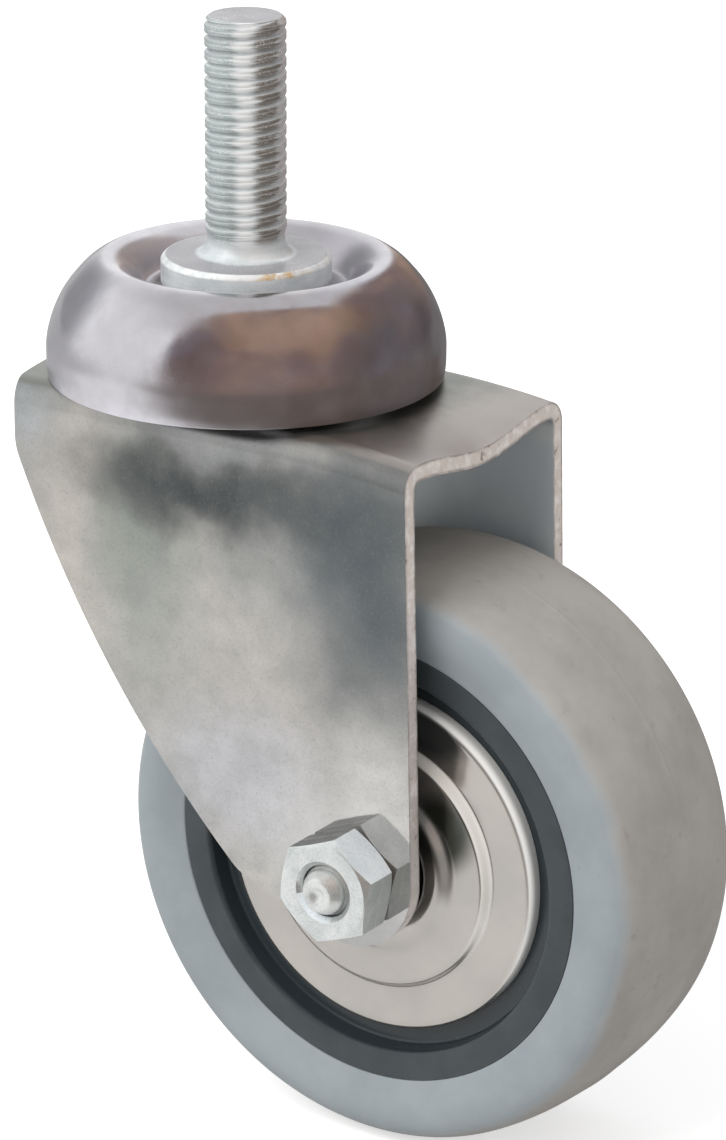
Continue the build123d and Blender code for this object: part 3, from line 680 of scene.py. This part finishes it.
fork_zinc = fork_finish()
print("made", fork_zinc.name, "with", len(LEG_PAINTED_REFLECTIONS), "patches")

# %% [markdown]
# ### Guard, race and ball steel
#
# The thread guards are thin polished discs with a warm cream cast. On the near guard, dark
# spots are painted shade and reflections of the fork's leg, and on both guards painted
# highlights run to the upper right in thin arcs along the rolled rim and the pressed steps.
# The races and balls are plain bright steel with a film of grease.

# %% Guard, race and ball steel
GUARD_FACE = AXLE[0] + Vector((0, -15, 0)) * MM
STEP_BORDER = 0.3


def polished(name, light, dark, rough, grain, metal=0.95, roll_highlight=0.0, painted_shade=(), steps=()):
    """Bright sheet or ground steel with soft stains. rough is its low and high roughness."""
    made, shader, place = finish(name, colour(*light))
    stains = smooth(noise(place, 75, 4), 0.36, 0.66)
    fine = noise(place, grain, 3, 0.6)
    tone = tones(stains, dark, light)
    tone = over(tone, smooth(fine, 0.60, 0.80, 0, 0.25), 228, 225, 220)
    tone = spots(tone, place, painted_shade, GUARD_FACE, 6, (1.25, 0.55))
    # Pale edges: partly wear and partly a painted highlight.
    edge_wear_and_highlight = outer_edge(0.7 * MM)
    tone = over(tone, times(edge_wear_and_highlight, 0.6), 246, 246, 244)
    # Where the sheet rolls over towards the upper right it gets a painted highlight.
    tilt = number("DOT_PRODUCT", surface_normal(), (0.8, 0, 0.6))
    rolled = smooth(tilt, 0.20, 0.60, 0, roll_highlight)
    tone = over(tone, rolled, 250, 250, 248)
    shine = math_node("MULTIPLY_ADD", larger(edge_wear_and_highlight, rolled), -0.6, metal)
    radius = across_wheel(place)[1]
    # The pressed steps get painted highlights where they face the upper right.
    for (inner, outer), paint in steps:
        borders = (inner - STEP_BORDER, inner, outer, outer + STEP_BORDER)
        step_highlight = between(radius, *(border * MM for border in borders))
        step_highlight = times(step_highlight, smooth(tilt, 0.05, 0.45))
        tone = over(tone, times(step_highlight, 0.9), *paint)
        shine = times(shine, smooth(step_highlight, 0, 1, 1.0, 0.15))
    dull = smooth(stains, 0, 1, rough[1], rough[0])
    normal = bump(fine, 0.15, 0.02 * MM)
    wire(shader, Base_Color=tone, Metallic=shine, Roughness=dull, Normal=normal)
    return made


# Painted shade and reflections of the leg on the near guard: middle (x, z) from the axle and
# reach in mm, colour, strength.
GUARD_PAINTED_SHADE = (
    ((12.4, 8.0), (6.2, 6.4), (66, 70, 64), 0.92),
    ((9.5, 23.0), (7.0, 4.5), (84, 94, 96), 0.8),
)
# Painted highlights on the guard's pressed steps: from and to in mm from the axle, and their
# colour.
STEP_HIGHLIGHTS = (((19.6, 20.8), (232, 230, 224)), ((26.6, 29.0), (246, 246, 244)))
guard_metal = polished(
    "guard_metal", (192, 187, 181), (184, 180, 175), (0.15, 0.20), 1400,
    metal=0.90, roll_highlight=0.60, painted_shade=GUARD_PAINTED_SHADE, steps=STEP_HIGHLIGHTS,
)
race_steel = polished("race_steel", (176, 176, 174), (120, 118, 114), (0.25, 0.42), 1800)
ball_steel = polished("ball_steel", (206, 206, 206), (168, 168, 166), (0.10, 0.2), 900)
print("made", guard_metal.name, race_steel.name, ball_steel.name)

# %% [markdown]
# ### Tyre rubber
#
# The tyre is grey non-marking rubber. Its side walls are clean and bluish, partly as painted
# cool light. The tread has rolled over floors, so it is mottled and slightly brown, and it
# is warmer, partly as painted warm light, with a paler line at the shoulder. Both tones come
# from how far a point lies from the axle.

# %% Tyre rubber
def tyre_finish():
    """Grey rubber, clean at the side and scuffed on the tread."""
    made, shader, place = finish("tyre_rubber", colour(140, 145, 150))
    radius = across_wheel(place)[1]
    wander = math_node("SUBTRACT", noise(place, 120, 3), 0.5)
    edge = math_node("ADD", radius, times(wander, 1.6 * MM))
    tread = smooth(edge, 44.2 * MM, 45.5 * MM)
    clouds = smooth(noise(place, 70, 5, 0.6), 0.34, 0.68)
    speckle = noise(place, 900, 4, 0.7)
    wall = tones(clouds, (146, 154, 159), (155, 163, 167))
    rolled = tones(clouds, (158, 155, 151), (170, 167, 163))
    stain = smooth(noise(place, 260, 4, 0.65), 0.60, 0.74, 0, 0.35)
    rolled = over(rolled, stain, 130, 124, 119)
    tone = mix(tread, wall, rolled)
    shoulder = between(edge, 43.7 * MM, 44.5 * MM, 44.8 * MM, 45.6 * MM)
    tone = over(tone, times(shoulder, 0.30), 172, 173, 172)
    tone = over(tone, smooth(speckle, 0.62, 0.80, 0, 0.22), 182, 180, 176)
    tone = over(tone, smooth(speckle, 0.38, 0.22, 0, 0.22), 104, 104, 104)
    rough = smooth(tread, 0, 1, 0.56, 0.82)
    wire(shader, Base_Color=tone, Roughness=rough, Specular_IOR_Level=0.38)
    height = times(speckle, smooth(tread, 0, 1, 0.35, 1.0))
    wire(shader, Normal=bump(height, 0.35, 0.12 * MM))
    return made


tyre_rubber = tyre_finish()
print("made", tyre_rubber.name)

# %% [markdown]
# ### Core plastic
#
# The core is dark grey nylon from a mould. The flat rim is matt and a little dusty, and the
# recess inside it has a smooth mould finish that shows thin glints, and is painted darker as
# shade.

# %% Core plastic
RECESS_R = 31.7 * MM


def core_finish():
    """Dark grey nylon, matt on the rim and smooth in the recess."""
    made, shader, place = finish("core_plastic", colour(74, 81, 83))
    radius = across_wheel(place)[1]
    recess_gloss_and_shade = smooth(radius, RECESS_R, RECESS_R - 0.6 * MM)
    clouds = smooth(noise(place, 130, 5, 0.6), 0.32, 0.70)
    dust = noise(place, 1100, 4, 0.7)
    rim = tones(clouds, (54, 61, 64), (64, 71, 74))
    # Painted shade darkens the recess.
    tone = over(rim, recess_gloss_and_shade, 46, 54, 58)
    tone = over(tone, smooth(dust, 0.60, 0.80, 0, 0.18), 126, 130, 130)
    # Pale edges, such as the recess's lip: partly wear and partly a painted highlight.
    edge_wear_and_highlight = outer_edge(0.3 * MM)
    tone = over(tone, times(edge_wear_and_highlight, 0.45), 150, 156, 158)
    rough = smooth(recess_gloss_and_shade, 0, 1, 0.52, 0.24)
    wire(shader, Base_Color=tone, Roughness=rough, Specular_IOR_Level=0.5)
    wire(shader, Normal=bump(dust, 0.18, 0.06 * MM))
    return made


core_plastic = core_finish()
print("made", core_plastic.name)

# %% [markdown]
# ## Tools for turned pieces
#
# Most of the castor is round: it was turned, drawn or moulded about an axis. A ring of
# vertices is added, extruded along the axis and scaled, station after station, which is how
# a lathe part is modelled by hand. Corners get their radius first, by swapping each one for
# a short curve, so that light runs round them as it does on real metal.

# %% Selecting, finishing and rounding
def start_fresh(*chosen):
    """Object mode with only the chosen objects selected."""
    if bpy.context.object and bpy.context.object.mode != "OBJECT":
        bpy.ops.object.mode_set(mode="OBJECT")
    bpy.ops.object.select_all(action="DESELECT")
    for thing in chosen:
        thing.select_set(True)
        bpy.context.view_layer.objects.active = thing


def apply_modifier(piece, kind, **settings):
    """Adds one modifier, sets it and applies it."""
    start_fresh(piece)
    made = piece.modifiers.new(kind.lower(), kind)
    for key, value in settings.items():
        setattr(made, key, value)
    bpy.ops.object.modifier_apply(modifier=made.name)


def rounded(corners, steps=4):
    """Stations from corners, each (radius, distance, corner radius) in mm."""
    stations = []
    for index, (radius, distance, soften) in enumerate(corners):
        here = Vector((radius, distance))
        if not soften or index in (0, len(corners) - 1):
            stations.append(tuple(here))
            continue
        back = Vector(corners[index - 1][:2]) - here
        onward = Vector(corners[index + 1][:2]) - here
        start = here + back.normalized() * min(soften, back.length * 0.49)
        end = here + onward.normalized() * min(soften, onward.length * 0.49)
        for step in range(steps + 1):
            share = step / steps
            bent = start * (1 - share) ** 2 + here * 2 * share * (1 - share) + end * share ** 2
            stations.append(tuple(bent))
    return stations


def select_ring(piece, first, count):
    """In edit mode, selects one ring of vertices by its place in the mesh."""
    bpy.ops.mesh.select_all(action="DESELECT")
    shape = bmesh.from_edit_mesh(piece.data)
    shape.verts.ensure_lookup_table()
    for vertex in shape.verts[first:first + count]:
        vertex.select = True
    shape.select_flush(True)
    bmesh.update_edit_mesh(piece.data)


print("selection helpers ready")

# %% [markdown]
# ### Turning a profile
#
# A profile is a list of stations: how far from the axis and how far along it. The first
# ring is placed, then each further one is extruded from it and scaled about the axis. The
# ends stay open, get a face, or are joined where the profile closes on itself. Every piece
# is then dressed: it gets its finish and the body that it rides on.

# %% Turning and dressing
def turned(name, stations, line, segments, ends="open"):
    """Extrudes and scales a ring along an axis. ends is open, capped or joined."""
    start_fresh()
    centre, way = line
    tilt = (0, 0, 0) if way.z else (math.pi / 2, 0, 0)
    radius, distance = stations[0]
    bpy.ops.mesh.primitive_circle_add(
        vertices=segments, radius=radius * MM, location=centre + way * distance * MM, rotation=tilt
    )
    piece = bpy.context.object
    piece.name = piece.data.name = name
    bpy.ops.object.transform_apply(location=True, rotation=True, scale=True)
    bpy.ops.object.mode_set(mode="EDIT")
    bpy.ops.mesh.select_mode(type="VERT")
    bpy.ops.mesh.select_all(action="SELECT")
    for (radius, distance), (next_radius, next_distance) in zip(stations, stations[1:]):
        step = way * (next_distance - distance) * MM
        bpy.ops.mesh.extrude_region_move(TRANSFORM_OT_translate={"value": step})
        grow = next_radius / radius
        scale = (grow, grow, 1) if way.z else (grow, 1, grow)
        bpy.ops.transform.resize(value=scale, orient_type="GLOBAL", center_override=centre)
    if ends == "capped":
        bpy.ops.mesh.edge_face_add()
        select_ring(piece, 0, segments)
        bpy.ops.mesh.edge_face_add()
    bpy.ops.mesh.select_all(action="SELECT")
    if ends == "joined":
        bpy.ops.mesh.remove_doubles(threshold=0.002 * MM)
    bpy.ops.mesh.normals_make_consistent(inside=False)
    bpy.ops.object.mode_set(mode="OBJECT")
    return piece


def dress(piece, material, body, slot, *nodes, smooth_angle=32):
    """Gives a piece its finish and its place in the assembly."""
    start_fresh(piece)
    bpy.ops.object.shade_smooth_by_angle(angle=math.radians(smooth_angle))
    piece.data.materials.clear()
    piece.data.materials.append(material)
    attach(piece, body)
    if nodes:
        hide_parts(*nodes)
    print(piece.name, "rides on", body, "-", len(piece.data.polygons), "faces")


print("turning ready")

# %% [markdown]
# ## Threads
#
# A thread is one tooth swept round the axis while it climbs. Displacing a plain rod would
# blur the flanks, so the tooth is extruded point by point and a Screw modifier sweeps it.
# The ends are cut square, and the rod is intersected with a turned body, which gives it its
# chamfer and lets the last turns fade out.

# %% A threaded rod
# One tooth: share of the pitch and share of the depth, with rounded crest and root.
TOOTH = (
    (0, 0), (0.05, 0.06), (0.12, 0.46), (0.19, 0.86), (0.26, 0.98), (0.36, 1), (0.45, 0.96),
    (0.50, 0.88), (0.55, 0.96), (0.64, 1), (0.74, 0.98), (0.81, 0.86), (0.88, 0.46), (0.95, 0.06),
    (1, 0),
)
TURN_STEPS = 72


def threaded_rod(name, crest_r, root_r, pitch, bottom, top):
    """A closed rod with a right-hand thread along Z, in mm."""
    start_fresh()
    first = bottom - 1.5 * pitch
    bpy.ops.mesh.primitive_plane_add(size=MM, location=(root_r * MM, 0, first * MM))
    rod = bpy.context.object
    rod.name = rod.data.name = name
    bpy.ops.object.transform_apply(location=True, rotation=True, scale=True)
    bpy.ops.object.mode_set(mode="EDIT")
    bpy.ops.mesh.select_all(action="SELECT")
    bpy.ops.mesh.merge(type="CENTER")
    for (along, high), (next_along, next_high) in zip(TOOTH, TOOTH[1:]):
        out = (next_high - high) * (crest_r - root_r) * MM
        climb = (next_along - along) * pitch * MM
        bpy.ops.mesh.extrude_region_move(TRANSFORM_OT_translate={"value": (out, 0, climb)})
    bpy.ops.object.mode_set(mode="OBJECT")
    turns = math.ceil((top - bottom) / pitch) + 3
    apply_modifier(
        rod, "SCREW", axis="Z", angle=2 * math.pi, screw_offset=pitch * MM, iterations=turns,
        steps=TURN_STEPS, render_steps=TURN_STEPS, use_merge_vertices=True,
        merge_threshold=0.001 * MM,
    )
    start_fresh(rod)
    bpy.ops.object.mode_set(mode="EDIT")
    bpy.ops.mesh.select_all(action="SELECT")
    bpy.ops.mesh.remove_doubles(threshold=0.005 * MM)
    for cut, way in ((bottom, -1), (top, 1)):
        bpy.ops.mesh.select_all(action="SELECT")
        bpy.ops.mesh.bisect(
            plane_co=(0, 0, cut * MM), plane_no=(0, 0, way), use_fill=True, clear_outer=True
        )
    bpy.ops.mesh.select_all(action="SELECT")
    bpy.ops.mesh.normals_make_consistent(inside=False)
    bpy.ops.object.mode_set(mode="OBJECT")
    return rod


def combine(piece, other, operation):
    """Joins, cuts or intersects a piece with another, which is then deleted."""
    apply_modifier(piece, "BOOLEAN", object=other, operation=operation, solver="EXACT")
    start_fresh(other)
    bpy.ops.object.delete()


print("one tooth has", len(TOOTH), "corners")

# %% [markdown]
# ## The stem
#
# The stem, the flange and the kingpin below them are one turned piece, riveted over at the
# bottom. The thread is a coarse half-inch one. Near the flange the last turns run out into
# a smooth neck, and the neck flares into the flange in a small polished radius.

# %% Stem, flange and kingpin
STEM_TOP = 37.3
STEM_PITCH = 25.4 / 12
stem = threaded_rod("stem_and_flange", 6.28, 5.62, STEM_PITCH, 2.4, STEM_TOP + 1)
stem_limit = turned(
    "stem_limit",
    [
        (5.7, 2.0), (5.95, 2.9), (6.5, 5.0),
        (6.5, STEM_TOP - 1.0), (5.8, STEM_TOP - 0.2), (5.55, STEM_TOP),
    ],
    SWIVEL, 96, "capped",
)
combine(stem, stem_limit, "INTERSECT")
stem_body = turned(
    "stem_body",
    rounded([
        (3.0, -32.4, 0), (6.2, -32.4, 0.8), (8.1, -31.05, 0.6), (8.6, -29.4, 0.3), (6.2, -29.4, 0),
        (6.2, -4.4, 0), (13.2, -4.4, 0.2), (13.2, -0.75, 0.3), (12.45, 0, 0.35), (7.3, 0, 1.0),
        (6.05, 1.35, 0.8), (5.98, 4.1, 0.5), (5.4, 6.2, 0.6), (4.2, 8.2, 0),
    ]),
    SWIVEL, 144, "capped",
)
combine(stem, stem_body, "UNION")
dress(stem, stem_zinc, "head", "bright_zinc", "threaded_stem")

# %% [markdown]
# ## The hood
#
# The hood is one sheet drawn into a cap, with a dish round the flange. Only its outer face
# is turned here, from points along the real curve, and Solidify gives the sheet its
# thickness. That keeps the wall even, which two separate curves would not.

# %% Hood
def curve_through(points, steps):
    """A smooth line through points, each stretch bent by its neighbours."""
    padded = [points[0], *points, points[-1]]
    line = []
    for a, b, c, d in zip(padded, padded[1:], padded[2:], padded[3:]):
        for step in range(steps):
            t = step / steps
            line.append(tuple(
                0.5 * (
                    2 * q + (r - p) * t
                    + (2 * p - 5 * q + 4 * r - s) * t * t + (3 * q - p - 3 * r + s) * t ** 3
                )
                for p, q, r, s in zip(a, b, c, d)
            ))
    line.append(tuple(points[-1]))
    return line


HOOD_CURVE = [
    (30.75, -18.9), (30.95, -17.6), (31.0, -15.6), (30.95, -13.4), (30.45, -11.0), (29.6, -8.55),
    (28.35, -6.1), (26.65, -3.85), (24.6, -1.75), (22.3, -0.45), (20.6, -0.62), (19.2, -1.35),
    (18.1, -2.3), (17.2, -3.3), (16.4, -4.4), (15.6, -5.05), (14.4, -5.2), (13.2, -5.0),
    (12.2, -4.45), (10.0, -4.4), (6.4, -4.4),
]
hood = turned("hood_cap", curve_through(HOOD_CURVE, 4), SWIVEL, 192)
apply_modifier(hood, "SOLIDIFY", thickness=1.6 * MM, offset=-1, use_even_offset=True)
apply_modifier(
    hood, "BEVEL", width=0.3 * MM, segments=3, limit_method="ANGLE", angle_limit=math.radians(50)
)
dress(hood, hood_metal, "head", "hood_metal", "hood")

# %% [markdown]
# ## Nuts and bolt
#
# A nut is a hexagon whose corners were turned off. So it is made the same way: a six-sided
# cylinder, intersected with a turned cone, which leaves the curved lines on its sides, then
# drilled with a turned cutter that has the countersink. A fine bevel softens the edges.

# %% Hexagon stock
NUT_FLATS = 15.24
# Where a corner of each hexagon points, in degrees.
NUT_TURN = 20
# The material slots of a nut: its plate, and lit, dim and dark copies of it that are
# painted light and shade. A face gets its copy from the way that it faces.
PLATE, PAINTED_LIT, PAINTED_DIM, PAINTED_DARK = range(4)


def hexagon(name, near, far):
    """A six-sided bar across the axle between two distances in mm."""
    start_fresh()
    centre, way = AXLE
    bpy.ops.mesh.primitive_cylinder_add(
        vertices=6, radius=NUT_FLATS / math.sqrt(3) * MM, depth=(far - near) * MM,
        location=centre + way * (near + far) / 2 * MM,
        rotation=(math.pi / 2, math.radians(30 - NUT_TURN), 0),
    )
    bar = bpy.context.object
    bar.name = bar.data.name = name
    bpy.ops.object.transform_apply(location=True, rotation=True, scale=True)
    return bar


def nut(name, near, far, node_name, chamfered):
    """A hexagon nut with a hole and its corners turned off at one end: chamfered is near or far."""
    made = hexagon(name, near, far)
    face = NUT_FLATS / 2
    if chamfered == "far":
        corners = [
            (9.6, near - 1), (9.6, far - 1.2), (face - 0.2, far), (face - 1.8, far + 1),
            (4.0, far + 1),
        ]
        hole = [(4.2, near - 1), (4.2, far - 0.75), (4.95, far), (5.95, far + 1)]
    else:
        corners = [
            (4.0, near - 1), (face - 1.75, near - 1), (face - 0.15, near), (9.6, near + 1.2),
            (9.6, far + 1),
        ]
        hole = [(4.2, near - 1), (4.2, far + 1)]
    combine(made, turned(name + "_cone", corners, AXLE, 144, "capped"), "INTERSECT")
    combine(made, turned(name + "_drill", hole, AXLE, 96, "capped"), "DIFFERENCE")
    dress(made, nut_zinc, "fork", "bright_zinc", node_name, smooth_angle=18)
    for material in (flat_painted_lit, flat_painted_dim, flat_painted_dark):
        made.data.materials.append(material)
    for polygon in made.data.polygons:
        tilt = abs(polygon.normal.y)
        facing = math.degrees(math.atan2(polygon.normal.z, polygon.normal.x)) % 360
        from_axle = (Vector(polygon.center) - AXLE[0]).xz.length
        # Painted light and shade by facing: the flats, then the countersink of the hole, then the
        # corners turned off.
        if tilt < 0.3 and from_axle > 7 * MM:
            polygon.material_index = PAINTED_LIT if facing < 90 else PAINTED_DARK if facing < 180 else PAINTED_DIM
        elif 0.3 < tilt < 0.95 and from_axle < 5.5 * MM:
            polygon.material_index = PAINTED_LIT if 15 < facing < 105 else PLATE
        elif 0.3 < tilt < 0.95:
            polygon.material_index = PAINTED_DIM if 40 < facing < 200 else PLATE
    return made


NUT_FACE = 29.6
nut("thin_nut", 22.4, 25.5, "inner_nut", "near")
nut("lock_nut", 25.5, NUT_FACE, "outer_nut", "far")

# %% [markdown]
# ## The axle bolt
#
# The bolt comes in from the far side. Its shank fills the sleeve, its head is a hexagon
# with a turned top, and its threaded end stands just proud of the outer nut, with a rounded
# rim and the small pit that a lathe centre leaves.

# %% Axle bolt
bolt = turned(
    "bolt_with_head",
    rounded([
        (2.0, -30.6, 0), (6.6, -30.6, 0.2), (7.42, -30.6, 0.1), (9.4, -29.45, 0), (9.4, -24.0, 0),
        (4.75, -24.0, 0),
        (4.75, 21.8, 0), (4.1, 22.5, 0), (4.1, 28.3, 0.1), (3.62, 28.9, 0.1), (3.5, 29.8, 0.2),
        (2.75, 31.0, 0.2), (2.4, 31.3, 0.2), (1.4, 31.2, 0.3), (0.9, 30.9, 0.2), (0.3, 30.7, 0),
    ]),
    AXLE, 96, "capped",
)
head_bar = hexagon("head_bar", -30.6, -24.0)
shank_line = [(3.0, -25.0), (6.0, -25.0), (6.0, 33.0), (3.0, 33.0)]
shank_bar = turned("shank_bar", shank_line, AXLE, 96, "capped")
combine(head_bar, shank_bar, "UNION")
combine(bolt, head_bar, "INTERSECT")
apply_modifier(
    bolt, "BEVEL", width=0.12 * MM, segments=2, limit_method="ANGLE", angle_limit=math.radians(34)
)
dress(bolt, bolt_zinc, "fork", "bright_zinc", "axle_bolt", smooth_angle=30)

# %% [markdown]
# ## The tyre
#
# The tyre is moulded over the core, which is why their border is tight and has no gap. It
# is turned as a closed profile. The tread is crowned and meets the side wall in a soft
# shoulder, and a hair-thin raised line round its middle is where the mould halves met.

# %% Tyre
def tyre_side(way):
    """Corners of one half of the tyre from the middle of the tread to its seat."""
    return [
        (46.62, 8.0 * way, 3.0), (46.0, 12.2 * way, 2.0), (45.45, 14.4 * way, 1.0),
        (44.4, 15.9 * way, 0.9), (42.7, 16.56 * way, 1.0), (40.2, 16.6 * way, 1.5),
        (36.9, 15.75 * way, 0.9), (35.72, 15.42 * way, 0.25),
        (35.6, 14.6 * way, 0), (35.6, 9.2 * way, 0), (38.4, 8.0 * way, 0),
    ]


near_half = [(46.94, 0.5, 0.3), (46.9, 2.4, 1.0), *tyre_side(1)]
far_half = [(46.94, -0.5, 0.3), (46.9, -2.4, 1.0), *tyre_side(-1)]
tyre_line = rounded([(47.0, 0, 0), *near_half, *reversed(far_half), (47.0, 0, 0)], steps=5)
tyre = turned("tyre", tyre_line, AXLE, 240, "joined")
dress(tyre, tyre_rubber, "wheel", "tyre_rubber", "tyre", smooth_angle=40)

# %% [markdown]
# ## The core
#
# The core has a flat rim, a recess with a thin web behind it, and a hub that carries the
# bearings. Both sides are the same, so one half is written down and used twice.

# %% Core
def core_side(way):
    """Corners of one half of the core, from its rim in the tyre to the bearing's seat."""
    return [
        (38.4, 8.0 * way, 0), (35.6, 9.2 * way, 0), (35.6, 14.6 * way, 0.2),
        (35.66, 15.4 * way, 0.25), (33.4, 15.42 * way, 0.4), (31.6, 15.4 * way, 0.35),
        (31.1, 14.9 * way, 0.3), (30.8, 11.9 * way, 0.5), (25.6, 11.9 * way, 0.3),
        (25.2, 4.0 * way, 0.8), (18.0, 4.0 * way, 0.8), (17.6, 14.2 * way, 0.3),
        (14.0, 14.2 * way, 0), (14.0, 6.2 * way, 0), (11.6, 6.2 * way, 0),
    ]


core_line = rounded([(38.4, 0, 0), *core_side(1), *reversed(core_side(-1)), (38.4, 0, 0)])
core = turned("core", core_line, AXLE, 200, "joined")
dress(core, core_plastic, "wheel", "core_plastic", "wheel_core", smooth_angle=35)

# %% [markdown]
# ## Thread guards
#
# Each guard is a thin disc pressed in steps: a flat ring, a raised boss and a rim that
# turns back into the core. The steps catch the light as thin bright arcs, so their corners
# need a true radius. The outer face is turned and the sheet's thickness follows inwards.

# %% Thread guards
def guard(name, way, node_name):
    """The guard on one side: way is 1 for the nuts' side and -1 for the other."""
    face = rounded([
        (10.0, 16.9 * way, 0), (12.4, 16.95 * way, 0.9), (14.4, 15.7 * way, 0.8),
        (19.6, 15.7 * way, 0.6), (20.6, 14.3 * way, 0.6), (24.4, 14.22 * way, 2.0),
        (27.78, 14.28 * way, 1.7), (27.78, 11.94 * way, 0),
    ], steps=6)
    made = turned(name, face, AXLE, 200)
    apply_modifier(made, "SOLIDIFY", thickness=0.9 * MM, offset=-1, use_even_offset=True)
    dress(made, guard_metal, "wheel", "guard_metal", node_name, smooth_angle=40)
    return made


guard("thread_guard_near", 1, "guard_near")
guard("thread_guard_far", -1, "guard_far")

# %% [markdown]
# ## Finishes for the kept solids
#
# The fork, the races, the balls and the washers already have their true shape in the packed
# solids, so they stay and only get a finish. The material goes into the slots of the
# object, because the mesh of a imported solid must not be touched.

# %% Finishes on kept solids
SIDES = ("near", "far")
BEARING_RINGS = [f"bearing_{ring}_{side}" for ring in ("inner", "outer") for side in SIDES]
KEPT = (
    (fork_zinc, ["fork"]),
    (stem_zinc, ["king_washer"]),
    (nut_zinc, ["bolt_washer"]),
    (race_steel, ["upper_race", "lower_race", "axle_sleeve", "hub_collar_near", "hub_collar_far"]),
    (race_steel, BEARING_RINGS),
    (ball_steel, ["upper_balls", "lower_balls", "bearing_balls_near", "bearing_balls_far"]),
)
for material, names in KEPT:
    for node_name in names:
        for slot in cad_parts[node_name].material_slots:
            slot.link = "OBJECT"
            slot.material = material
print("kept", sum(len(names) for material, names in KEPT), "packed solids")

# %% [markdown]
# ## Colour management
#
# The plain view transform shows each colour as it was written.

# %% Finish
bpy.context.scene.view_settings.view_transform = "Standard"
